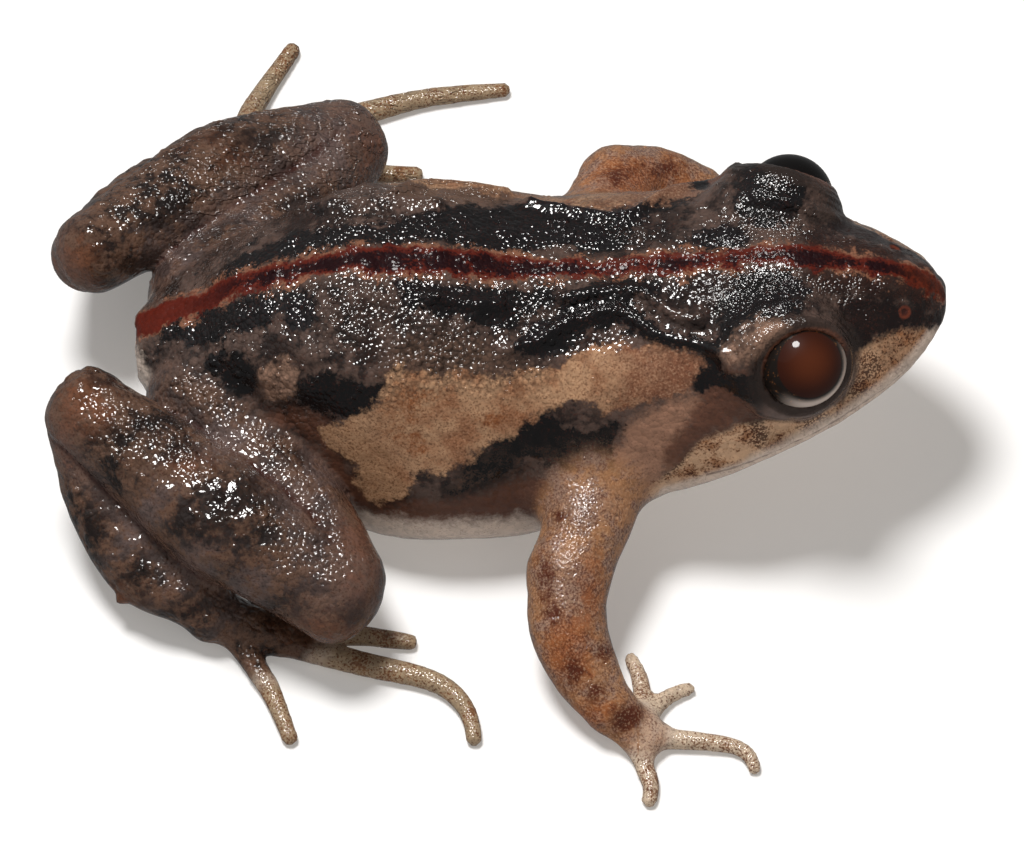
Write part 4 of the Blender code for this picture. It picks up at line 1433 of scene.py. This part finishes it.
# %% Short calls for nodes
class Shader:
    """A material's node tree, with short calls for the nodes that the finishes use."""

    def __init__(self, name):
        self.material = bpy.data.materials.new(name)
        self.material.use_nodes = True
        self.tree = self.material.node_tree
        self.principled = self.tree.nodes["Principled BSDF"]
        coordinates = self.node("ShaderNodeTexCoord").outputs["Object"]
        scaled = self.node("ShaderNodeVectorMath", {0: coordinates, "Scale": 1 / MM}, operation="SCALE")
        self.place = scaled.outputs[0]

    def node(self, kind, inputs=(), **settings):
        return add_node(self.tree, kind, inputs, **settings)

    def join(self, socket, value):
        join(self.tree, socket, value)

    def number(self, name):
        """A number kept on the points of the mesh."""
        return Number(self, self.node("ShaderNodeAttribute", attribute_name=name).outputs["Fac"])

    def math(self, kind, *values):
        made = self.node("ShaderNodeMath", dict(enumerate(values)), operation=kind)
        return Number(self, made.outputs[0])

    def step(self, value, start, stop):
        """0 where the value is at start, 1 where it is at stop, and smooth between."""
        inputs = {"Value": value, "From Min": start, "From Max": stop}
        fitted = self.node("ShaderNodeMapRange", inputs, interpolation_type="SMOOTHSTEP")
        return Number(self, fitted.outputs["Result"])

    def noise(self, place, scale, detail=2.0, rough=0.5):
        inputs = {"Vector": place, "Scale": scale, "Detail": detail, "Roughness": rough}
        return Number(self, self.node("ShaderNodeTexNoise", inputs).outputs["Fac"])

    def mix(self, share, a, b):
        made = self.node("ShaderNodeMix", data_type="RGBA")
        self.join(made.inputs["Factor"], share)
        self.join(made.inputs["A"], a)
        self.join(made.inputs["B"], b)
        return made.outputs["Result"]

    def finish(self, colour, rough, coat_rough, coat_ior):
        """Sets the finish under the wet coat and the coat itself, the same all over."""
        self.join(self.principled.inputs["Base Color"], colour)
        self.principled.inputs["Roughness"].default_value = rough
        self.principled.inputs["Specular IOR Level"].default_value = 0.05
        self.principled.inputs["Coat Weight"].default_value = 1.0
        self.principled.inputs["Coat Roughness"].default_value = coat_rough
        self.principled.inputs["Coat IOR"].default_value = coat_ior
        return self.material


# %% Noises of the skin
GRANULES_PER_MM = 10.5


class SkinShader(Shader):
    """The skin's shader, with the noises that its colours and its bump share."""

    def __init__(self):
        super().__init__("wet_skin")
        self.broad = self.noise(self.place, 0.9, 3.0)
        self.middle = self.noise(self.place, 2.6, 5.0, 0.65)
        self.fine = self.noise(self.place, 10.0, 3.0, 0.6)
        self.speckle = self.noise(self.place, 24.0, 2.0, 0.6)
        self.jitter = (self.middle - 0.5) * 1.3 + (self.fine - 0.5) * 0.55
        cells = self.node("ShaderNodeTexVoronoi", {"Vector": self.place, "Scale": GRANULES_PER_MM})
        self.grain_gap = Number(self, cells.outputs["Distance"])
        grain = self.node("ShaderNodeSeparateColor", {"Color": cells.outputs["Color"]})
        self.grain = Number(self, grain.outputs[0])
        parts = self.node("ShaderNodeSeparateXYZ", {"Vector": self.place})
        self.along = Number(self, parts.outputs["X"]) + self.jitter * 1.2

    def ragged(self, name, amount=1.0):
        return self.number(name) + self.jitter * amount

    def laid(self, colour, name, other, amount=0.6, reach=0.09, most=1.0):
        """Lays another colour inside the outline whose distance has this name."""
        inside = self.step(self.ragged(name, amount), reach, -reach)
        return self.mix(inside * most, colour, other)


skin_shader = SkinShader()
print("noises ready")

# %% [markdown]
# ## Colours of the trunk
# A frog's pattern is pigment in layers, so it is laid on in layers here: mottled grey-brown
# ground, then brown, black and tan, each inside its own outline, and pale skin below. The tan is
# sandy and rosier towards the shoulder, and paler towards the hip, as painted light that lifts the
# leg's shade. Pleats run along the far flank, and their pale lines are a painted highlight.

# %% Trunk colours
GROUND_DARK = srgb(36, 25, 21)
GROUND_LIGHT = srgb(88, 70, 62)
BLACK = srgb(11, 9, 10)
TAN = srgb(150, 104, 74)
TAN_LIGHT = srgb(180, 140, 107)
TAN_ORANGE = srgb(140, 84, 48)
TAN_GREY = srgb(100, 76, 62)
TAN_ROSE = srgb(124, 82, 62)
TAN_DOT = srgb(92, 58, 38)
BROWN_DARK = srgb(96, 62, 47)
CANTHAL = srgb(22, 8, 6)
SNOUT_BROWN = srgb(42, 21, 14)
PALE_SPOT = srgb(150, 117, 98)
SHOULDER = srgb(162, 121, 98)
BELLY = srgb(208, 190, 176)
CREAM = srgb(196, 160, 128)
PLEAT_STRETCH = (0.9, 3.0, 3.0)


def tan_colour(s):
    """Sandy tan, rosier towards the shoulder, and paler towards the hip as painted light that lifts the
    leg's shade.
    """
    sandy = s.noise(s.place, 2.1, 3.0) + s.speckle * 0.2
    tan = s.mix(s.step(sandy, 0.46, 0.70), TAN, TAN_LIGHT)
    tan = s.mix(s.step(s.broad + s.jitter * 0.6, 0.50, 0.76), tan, TAN_ORANGE)
    tan = s.mix(s.step(s.along, 1.2, 3.2) * 0.85, tan, TAN_ROSE)
    # Paler towards the hip: painted light that lifts the shade of the leg on the flank.
    tan = s.mix(s.step(s.along, -1.2, -2.6) * 0.8, tan, TAN_LIGHT)
    tan = s.mix(s.step(s.number("across"), 0.0, -0.6) * 0.4, tan, TAN_GREY)
    tan = s.mix(s.step(s.speckle, 0.50, 0.64) * 0.5, tan, TAN_DOT)
    return s.mix(s.step(s.speckle, 0.46, 0.34) * 0.35, tan, CREAM)


def flank_pleats(s):
    """Thin wavy lines along the far flank, 1 on a line and 0 elsewhere."""
    stretched = s.node("ShaderNodeVectorMath", {0: s.place, 1: PLEAT_STRETCH}, operation="MULTIPLY")
    gap = abs(s.noise(stretched.outputs[0], 1.0, 3.0, 0.6) - 0.5)
    on_flank = s.step(s.number("across"), -1.3, -1.9) * s.step(s.along, 0.4, -0.8)
    return s.step(gap, 0.05, 0.0) * on_flank


def trunk_colour(s, pleats_with_highlight):
    """The trunk's layers, from the ground up to the pale belly."""
    colour = s.mix(s.step(s.broad + s.jitter * 0.7, 0.34, 0.66), GROUND_DARK, GROUND_LIGHT)
    colour = s.mix(s.step(s.number("wart"), 0.1, 0.8), colour, s.mix(0.4, colour, GROUND_LIGHT))
    blots = s.step(s.noise(s.place, 1.9, 4.0, 0.65), 0.56, 0.64)
    colour = s.mix(blots * 0.75, colour, BLACK)
    colour = s.laid(colour, "tan_edge", TAN_GREY, 0.9, 0.3, 0.7)
    colour = s.laid(colour, "snout", SNOUT_BROWN, 0.7, 0.25, 0.85)
    colour = s.laid(colour, "shoulder", SHOULDER, 0.7, 0.2, 0.9)
    colour = s.laid(colour, "brown", BROWN_DARK, 0.7, 0.16, 0.9)
    colour = s.laid(colour, "canthal", CANTHAL, 0.5, 0.10, 0.95)
    flecks = s.step(s.middle + s.speckle * 0.35, 0.55, 0.80) * s.step(s.number("round_share"), 0.34, 0.50)
    colour = s.laid(colour, "black", s.mix(flecks, BLACK, TAN_GREY), 0.6, 0.07)
    colour = s.laid(colour, "tan", tan_colour(s), 0.6, 0.08)
    spotted = s.step(s.middle + s.speckle * 0.25, 0.56, 0.80)
    colour = s.laid(colour, "spots", s.mix(spotted, PALE_SPOT, TAN_GREY), 0.45, 0.10, 0.92)
    # The pale colour of the pleats is a painted highlight; their relief comes from the bump.
    colour = s.mix(pleats_with_highlight * 0.45, colour, TAN_GREY)
    belly = s.step(s.number("past_edge") + s.jitter * 0.5, -1.15, -0.70)
    return s.mix(belly, colour, BELLY)


pleats_with_highlight = flank_pleats(skin_shader)
colour = trunk_colour(skin_shader, pleats_with_highlight)
print("nodes after the trunk:", len(skin_shader.tree.nodes))

# %% [markdown]
# ## Lips and stripe
# The lips are cream with fine brown dots, which crowd together in a few dark bars, and the edge of
# the jaw is plain and pale. A stripe runs down the spine from the snout to the vent. Its core is
# nearly black, its sides and its hind end are red-brown, and a broken peach line edges it. Two
# noises of different size widen and bend it, because a stripe of even width would look painted on.

# %% Lip and stripe colours
LIP_ORANGE = srgb(146, 98, 64)
LIP_STIPPLE = srgb(58, 28, 16)
STRIPE = srgb(88, 30, 20)
STRIPE_TIP = srgb(104, 46, 26)
STRIPE_DARK = srgb(30, 9, 12)
STRIPE_BORDER = srgb(142, 96, 72)


def with_lips(s, colour):
    """The colour with the cream, dotted lips on it."""
    lip = s.mix(s.step(s.middle + s.speckle * 0.3, 0.58, 0.80), CREAM, LIP_ORANGE)
    lip = s.mix(s.step(s.along, 6.0, 7.4) * 0.5, lip, LIP_ORANGE)
    bars = s.step(s.ragged("bars", 0.5), 0.20, -0.05)
    front = s.step(s.along, 6.2, 7.6) * 0.35
    crowded = s.math("MAXIMUM", s.step(s.middle, 0.42, 0.62) + front, bars)
    dots = s.step(s.speckle + bars * 0.08, 0.51, 0.61)
    lip = s.mix(s.math("MINIMUM", dots * crowded, 0.85), lip, LIP_STIPPLE)
    lip = s.mix(s.step(s.number("round_share"), 0.54, 0.64), lip, BELLY)
    lip = s.mix(s.step(s.number("jaw_edge"), -0.58, -0.36) * 0.85, lip, BELLY)
    return s.mix(s.step(s.ragged("lip", 0.35), -0.10, 0.12), colour, lip)


def with_stripe(s, colour):
    """The colour with the stripe on it, and the share of the stripe's red-brown."""
    wave = s.noise(s.place, 0.55, 2.0) - 0.5
    spine = abs(s.ragged("across", 0.12)) + wave * 0.55
    broken = s.noise(s.place, 1.6, 4.0, 0.65) + (s.speckle - 0.5) * 0.5
    border = s.step(spine + s.jitter * 0.7, 0.40, 0.29) * (s.step(broken, 0.42, 0.60) * 0.9)
    colour = s.mix(border, colour, STRIPE_BORDER)
    centre = abs(spine) + (s.speckle - 0.5) * 0.3
    dark = s.step(centre + s.jitter * 0.5, 0.20, 0.07) * s.step(s.along, -6.4, -4.4)
    stripe = s.mix(dark, STRIPE, STRIPE_DARK)
    stripe = s.mix(s.step(s.along, 7.0, 8.4) * 0.6, stripe, STRIPE_TIP)
    core = s.step(spine + s.jitter * 0.45, 0.29, 0.19)
    return s.mix(core, colour, stripe), core


colour = with_lips(skin_shader, colour)
colour, stripe_share = with_stripe(skin_shader, colour)
print("nodes after the stripe:", len(skin_shader.tree.nodes))

# %% [markdown]
# ## Colours of the limbs
# The hind legs are brown with dark, mauve and rusty patches, the forelegs are warmer and densely
# dotted, and the digits are almost bare of pigment. Each limb's colour is laid over the trunk's by
# the share of the limb in the skin at that point, so it fades in where the limb melts in.

# %% Limb colours
HIND_BROWN = srgb(99, 73, 58)
HIND_DARK = srgb(24, 15, 12)
MAUVE = srgb(106, 88, 83)
HIND_TAN = srgb(116, 72, 48)
FORE_TAN = srgb(163, 117, 81)
FORE_PINK = srgb(143, 112, 95)
FORE_DARK = srgb(78, 30, 12)
FORE_ORANGE = srgb(150, 84, 42)
FINGER_PALE = srgb(204, 182, 158)
TOE_TAN = srgb(160, 138, 111)
DIGIT_BROWN = srgb(120, 72, 36)


def with_hind_legs(s, colour):
    """The colour with the patchy brown of the hind legs on it, and a pale mauve painted sheen beside the
    creases.
    """
    hind = s.mix(s.step(s.middle + s.grain * 0.1, 0.42, 0.62), HIND_DARK, HIND_BROWN)
    for name, tint, most in (
        ("limb_mauve", MAUVE, 0.75), ("limb_orange", HIND_TAN, 0.85), ("limb_dark", HIND_DARK, 0.85),
    ):
        hind = s.laid(hind, name, tint, 1.7, 0.30, most)
    # A pale mauve band beside the leg creases is a painted sheen, lighter where shade would fall.
    painted_sheen_by_crease = s.step(s.number("crease") + s.jitter * 0.4, 0.60, 0.20)
    hind = s.mix(painted_sheen_by_crease * 0.35, hind, MAUVE)
    hind = s.mix(s.step(s.speckle, 0.52, 0.68) * 0.4, hind, HIND_DARK)
    return s.mix(s.step(s.number("hind") + s.jitter * 0.25, 0.30, 0.65), colour, hind)


def with_forelegs(s, colour):
    """The colour with the warm brown of the forelegs on it."""
    fore = s.mix(s.step(s.middle, 0.42, 0.62), FORE_TAN, FORE_PINK)
    fore = s.laid(fore, "limb_mauve", FORE_PINK, 0.8, 0.25, 0.8)
    fore = s.laid(fore, "limb_orange", FORE_ORANGE, 0.8, 0.25, 0.8)
    fore = s.laid(fore, "limb_dark", FORE_DARK, 0.6, 0.12, 0.95)
    return s.mix(s.step(s.number("fore") + s.jitter * 0.3, 0.20, 0.75), colour, fore)


def with_digits(s, colour):
    """The colour with the pale, spotted fingers and toes on it."""
    digit = s.mix(s.number("toe"), FINGER_PALE, TOE_TAN)
    spots = s.noise(s.place, 2.2, 2.0) * 0.55 + s.speckle * 0.8
    digit = s.mix(s.step(spots, 0.66, 0.78) * 0.8, digit, DIGIT_BROWN)
    return s.mix(s.step(s.number("digit") + s.jitter * 0.3, 0.3, 0.9), colour, digit)


def with_dots(s, colour):
    """Red-brown dots and sandy flecks, thickest on the forelegs, a tone of its own for every granule, and
    painted shade in the gaps between granules.
    """
    light_skin = s.math("MAXIMUM", s.number("fore"), s.number("digit"))
    dotted = s.step(s.speckle + s.number("fore") * 0.05, 0.54, 0.64) * s.step(s.middle, 0.34, 0.56)
    dotted = dotted * (light_skin * 0.50 + 0.35)
    colour = s.mix(dotted, colour, s.mix(0.8, colour, FORE_DARK))
    sandy = s.step(s.speckle, 0.46, 0.34) * s.number("fore")
    colour = s.mix(sandy * 0.35, colour, CREAM)
    colour = s.mix(s.step(s.grain, 0.0, 1.0) * 0.34, colour, s.mix(0.5, colour, BLACK))
    # Darker in the gaps between granules: painted shade in the hollows between the domes.
    gaps = s.step(s.grain_gap, 0.30, 0.62) * s.number("granular")
    return s.mix(gaps * 0.6, colour, s.mix(0.85, colour, BLACK))


for lay in (with_hind_legs, with_forelegs, with_digits, with_dots):
    colour = lay(skin_shader, colour)
print("nodes after the limbs:", len(skin_shader.tree.nodes))

# %% [markdown]
# ## Lids, mouth, creases and nostrils
# The skin round an eye is dark and drawn into fine rings, with painted shade in the grooves
# between them, paler below the eye, with a thin rusty margin against the eyeball. Blood shows
# through where the skin is thin, so the mouth line, the creases of the folded legs and the nostrils
# are red, and they are darkened with painted shade, as in folds and pits.

# %% Lid and crease colours
# The dark red of the folds and pits: a reddish skin colour darkened by painted shade.
FOLD_RED_SHADE = srgb(54, 22, 16)
NOSTRIL = srgb(96, 44, 28)
LID_DARK = srgb(44, 33, 28)
LID_UNDER = srgb(112, 96, 90)
LID_MARGIN = srgb(130, 78, 56)


def with_lids(s, colour, rings, lid_share):
    """The colour with the dark lids and their rings on it, with painted shade in the grooves of the
    rings.
    """
    under_eye = s.step(s.number("lid_up"), -0.15, -0.55)
    lid = lid_share * s.step(s.number("eye_gap"), 0.42, 0.26)
    colour = s.mix(lid * 0.65, colour, s.mix(under_eye, LID_DARK, LID_UNDER))
    # Dark in the grooves between the lid rings: painted shade.
    colour = s.mix(s.step(rings, 0.2, 1.0) * 0.5, colour, LID_DARK)
    colour = s.mix(s.step(s.number("rim"), 0.3, 0.9) * 0.7, colour, LID_DARK)
    margin = s.step(s.number("eye_gap"), 0.10, 0.05) * s.step(s.number("lid_up"), 0.1, 0.7)
    return s.mix(margin * 0.45, colour, LID_MARGIN)


def with_creases(s, colour):
    """The colour with the mouth line, the creases and the nostrils on it, red darkened by painted shade.
    """
    # The dark lines along the mouth and the leg creases and the dark nostril cores are painted shade.
    mouth_line = s.step(abs(s.number("mouth")), 0.045, 0.015)
    colour = s.mix(mouth_line * 0.5, colour, FOLD_RED_SHADE)
    colour = s.mix(s.step(s.number("crease"), 0.11, 0.02) * 0.85, colour, FOLD_RED_SHADE)
    colour = s.mix(s.step(s.number("nostril"), 0.15, 0.10), colour, NOSTRIL)
    return s.mix(s.step(s.number("nostril"), 0.09, 0.05), colour, FOLD_RED_SHADE)


lid_share = skin_shader.number("lid_near") * skin_shader.step(skin_shader.number("lid_up"), 0.75, 0.45)
rings = skin_shader.number("lid_angle") * 0.9 + skin_shader.jitter * 2.0
rings = skin_shader.math("SINE", rings) * lid_share
colour = with_lids(skin_shader, colour, rings, lid_share)
colour = with_creases(skin_shader, colour)
print("nodes after the lids:", len(skin_shader.tree.nodes))

# %% [markdown]
# ## The fine relief
# Granules too small to model stand on the skin like beads, and each mirrors the lamp as a spark. A
# Voronoi pattern gives the distance to the nearest granule's middle, and its square makes round
# domes. The head and the arms have finer ones. Low waves under them let the sparks gather in
# groups, as they do on water. The stripe is drier than the rest, so its colour isn't veiled.

# %% Bump and wet coat
FINER_GRANULES = 1.6
BUMP_HEIGHT = 0.05


def skin_height(s, rings, pleats_with_highlight):
    """The height of the fine relief, for the bump."""
    dome = s.grain_gap ** 2.0
    small = s.node("ShaderNodeTexVoronoi", {"Vector": s.place, "Scale": FINER_GRANULES * GRANULES_PER_MM})
    small_dome = Number(s, small.outputs["Distance"]) ** 2.0
    finer = s.number("finer")
    height = s.fine * 0.05 - dome * (0.80 - finer * 0.50)
    height = height - small_dome * (finer * 0.45 + 0.12)
    height = height * (s.number("relief") * 0.85 + 0.15)
    height = height + s.noise(s.place, 5.0, 1.5, 0.5) * (s.number("hind") + 0.25)
    height = height + s.speckle * (finer * 0.16)
    height = height + pleats_with_highlight * 0.8
    height = height - small_dome * (s.number("digit") * 0.35)
    height = height - rings * 0.25
    return height - s.step(s.number("crease"), 0.09, 0.0) * 0.8


def finish_skin(s, colour, height, stripe_share):
    """Sets the skin's colour, bump and wet coat."""
    bump = s.node("ShaderNodeBump", {"Height": height, "Strength": 0.8, "Distance": BUMP_HEIGHT * MM})
    s.finish(colour, 0.5, 0.05, 1.5)
    s.join(s.principled.inputs["Coat Weight"], 1.0 - stripe_share * 0.8)
    s.join(s.principled.inputs["Normal"], bump.outputs["Normal"])
    s.join(s.principled.inputs["Coat Normal"], bump.outputs["Normal"])
    return s.material


height = skin_height(skin_shader, rings, pleats_with_highlight)
skin.data.materials.append(finish_skin(skin_shader, colour, height, stripe_share))
print("nodes of the skin's finish:", len(skin_shader.tree.nodes))

# %% [markdown]
# ## Granules
# About a thousand granules are large enough to model. They stand on the back and the legs, and are
# all alike but for their size, so a Geometry Nodes tree strews them: it spreads points over the
# skin, never closer than one spacing, puts a flat little dome on each, turned along the skin, and
# makes them real at the end. The skin's numbers ride along to the domes, so one finish colours
# both.

# %% Granule tree
GRANULE_SPACING = 0.150
GRANULE_SIZE = 0.085
GRANULE_SPREAD = 0.45
GRANULE_FLATNESS = 0.58
GRANULE_SINK = 0.36
GRANULE_SIDES = 8
GRANULE_RINGS = 4
GRANULE_SEED = 3
# So many points for each square metre that only the spacing and the shares thin them out.
GRANULE_DENSITY = 1e9


def granule_tree():
    """The node tree that strews granules over a mesh."""
    tree = bpy.data.node_groups.new("granules", "GeometryNodeTree")
    ports = tree.interface
    ports.new_socket("Geometry", in_out="INPUT", socket_type="NodeSocketGeometry")
    for name, kind in (("Spacing", "Float"), ("Size", "Float"), ("Spread", "Float"), ("Seed", "Int")):
        ports.new_socket(name, in_out="INPUT", socket_type="NodeSocket" + kind)
    ports.new_socket("Finish", in_out="INPUT", socket_type="NodeSocketMaterial")
    ports.new_socket("Geometry", in_out="OUTPUT", socket_type="NodeSocketGeometry")

    def node(kind, inputs=(), **settings):
        return add_node(tree, kind, inputs, **settings)

    def math_node(kind, *values):
        return node("ShaderNodeMath", dict(enumerate(values)), operation=kind).outputs[0]

    def kept(name):
        held = node("GeometryNodeInputNamedAttribute", {"Name": name}, data_type="FLOAT")
        return held.outputs["Attribute"]

    given = node("NodeGroupInput").outputs
    strewn = node(
        "GeometryNodeDistributePointsOnFaces",
        {"Mesh": given["Geometry"], "Distance Min": given["Spacing"], "Density Max": GRANULE_DENSITY,
         "Density Factor": kept("granular"), "Seed": given["Seed"]},
        distribute_method="POISSON",
    )
    ball = {"Segments": GRANULE_SIDES, "Rings": GRANULE_RINGS, "Radius": 1.0}
    dome = node("GeometryNodeMeshUVSphere", ball).outputs["Mesh"]
    lowered = {"Geometry": dome, "Scale": (1, 1, GRANULE_FLATNESS), "Translation": (0, 0, -GRANULE_SINK)}
    flat = node("GeometryNodeTransform", lowered)
    round_dome = node("GeometryNodeSetShadeSmooth", {"Geometry": flat.outputs["Geometry"]})
    # A squared chance makes most granules small and a few large.
    least = math_node("SUBTRACT", 1.0, given["Spread"])
    reach = math_node("MULTIPLY", 2.0, given["Spread"])
    chance = node("FunctionNodeRandomValue", {2: 0.0, 3: 1.0, "Seed": given["Seed"]}, data_type="FLOAT")
    vary = math_node("MULTIPLY_ADD", math_node("POWER", chance.outputs[1], 2.0), reach, least)
    size = math_node("MULTIPLY", math_node("MULTIPLY", vary, given["Size"]), kept("granule_size"))
    placed = node(
        "GeometryNodeInstanceOnPoints",
        {"Points": strewn.outputs["Points"], "Instance": round_dome.outputs["Geometry"],
         "Rotation": strewn.outputs["Rotation"], "Scale": size},
    )
    real = node("GeometryNodeRealizeInstances", {"Geometry": placed.outputs["Instances"]})
    finish = {"Geometry": real.outputs["Geometry"], "Material": given["Finish"]}
    painted = node("GeometryNodeSetMaterial", finish)
    node("NodeGroupOutput", {"Geometry": painted.outputs["Geometry"]})
    return tree


# %% Strew the granules
def strew(name, base, tree, values):
    """Runs a tree on a copy of the base and keeps the result as a plain mesh."""
    holder = base.copy()
    bpy.context.scene.collection.objects.link(holder)
    modifier = holder.modifiers.new(name, "NODES")
    modifier.node_group = tree
    for socket in tree.interface.items_tree:
        if socket.in_out == "INPUT" and socket.name in values:
            modifier[socket.identifier] = values[socket.name]
    evaluated = holder.evaluated_get(bpy.context.evaluated_depsgraph_get())
    mesh = bpy.data.meshes.new_from_object(evaluated)
    mesh.name = name
    holder.modifiers.remove(modifier)
    bpy.data.objects.remove(holder)
    made = bpy.data.objects.new(name, mesh)
    bpy.context.scene.collection.objects.link(made)
    return made


granules = strew("granules", skin, granule_tree(), {
    "Spacing": GRANULE_SPACING * MM, "Size": GRANULE_SIZE * MM, "Spread": GRANULE_SPREAD,
    "Seed": GRANULE_SEED, "Finish": skin.data.materials[0],
})
print("granule triangles:", sum(len(p.vertices) - 2 for p in granules.data.polygons))

# %% [markdown]
# ## Eyeballs
# Each eyeball is a ball a little larger than its solid, as large as the real one. A frog's iris is
# dark with gold flecks, and a pale sheen is painted towards its front corner, a painted reflection. The
# right pupil is wide and painted red-brown, a painted glow of light shining into it, and the left one
# is black.

# %% Eyes
PUPIL_UP_DEG = 50.0
PUPIL_FORWARD_DEG = 22.0
PUPIL_DEG = 47.0
FRONT_CORNER = (0.72, 0.60, -0.38)
# The right pupil's red-brown, lighter in the middle and darker at its edge, is a painted glow.
GLOW = {"right": 1.0, "left": 0.0}
PUPIL_PAINTED_GLOW = srgb(80, 38, 20)
PUPIL_EDGE = srgb(50, 20, 10)
PUPIL_BLACK = srgb(10, 8, 8)
IRIS = srgb(26, 21, 18)
IRIS_GOLD = srgb(140, 86, 40)
IRIS_PAINTED_SHEEN = srgb(196, 180, 170)


def make_eye(name, side):
    """An eyeball turned to its pupil, with each point's angle from the pupil kept on it."""
    form = bmesh.new()
    bmesh.ops.create_uvsphere(form, u_segments=64, v_segments=48, radius=EYE_RADIUS * MM)
    centre = Vector(on_side(EYE_CENTRE, side)) * MM + SHIFT
    heading = Vector(gaze(side, PUPIL_UP_DEG, PUPIL_FORWARD_DEG))
    turn = heading.to_track_quat("Z", "Y").to_matrix().to_4x4()
    bmesh.ops.transform(form, matrix=Matrix.Translation(centre) @ turn, verts=form.verts)
    mesh = bpy.data.meshes.new(name)
    form.to_mesh(mesh)
    form.free()
    mesh.shade_smooth()
    eye = bpy.data.objects.new(name, mesh)
    bpy.context.scene.collection.objects.link(eye)
    places = np.empty(len(mesh.vertices) * 3)
    mesh.vertices.foreach_get("co", places)
    offset = (places.reshape(-1, 3) - np.array(centre)) / (EYE_RADIUS * MM)
    corner = np.array(FRONT_CORNER) * (1, side, 1)
    angle = np.degrees(np.arccos(np.clip(offset @ np.array(heading), -1, 1)))
    glow = np.full(len(offset), GLOW["right" if side < 0 else "left"])
    keep_numbers(eye, from_pupil=angle, to_corner=offset @ corner, glow=glow)
    return eye


def eye_finish():
    """A dark, flecked iris with a painted reflection towards its front corner, and its pupil with a
    painted glow, under a clear coat.
    """
    s = Shader("eye")
    angle = s.number("from_pupil")
    glow = s.mix(s.step(angle, 4.0, PUPIL_DEG), PUPIL_PAINTED_GLOW, PUPIL_EDGE)
    glow = s.mix(s.number("glow"), PUPIL_BLACK, glow)
    flecks = s.step(s.noise(s.place, 13.0, 3.0, 0.7), 0.58, 0.70)
    iris = s.mix(flecks * 0.8, IRIS, IRIS_GOLD)
    # A pale sheen towards the front corner of the iris is a painted reflection.
    painted_sheen = s.step(angle, PUPIL_DEG + 1, PUPIL_DEG + 15) * s.step(s.number("to_corner"), 0.1, 0.75)
    iris = s.mix(painted_sheen * 0.85, iris, IRIS_PAINTED_SHEEN)
    colour = s.mix(s.step(angle, PUPIL_DEG - 0.7, PUPIL_DEG + 0.7), glow, iris)
    return s.finish(colour, 0.45, 0.02, 1.27)


eye_material = eye_finish()
eyes = {}
for name, side in SIDES.items():
    eyes[name] = make_eye("eyeball_" + name, side)
    eyes[name].data.materials.append(eye_material)
print("eyes:", [len(eye.data.vertices) for eye in eyes.values()])

# %% [markdown]
# ## Handing over
# The skin stands for every solid but the eyes, and each eyeball for its own. All of them ride on
# the one body, because this model doesn't move.

# %% Hand over
flesh = [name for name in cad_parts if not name.startswith("eye_")]
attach(skin, "root")
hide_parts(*flesh)
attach(granules, "root")
for name, eye in eyes.items():
    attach(eye, "root")
    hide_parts("eye_" + name)
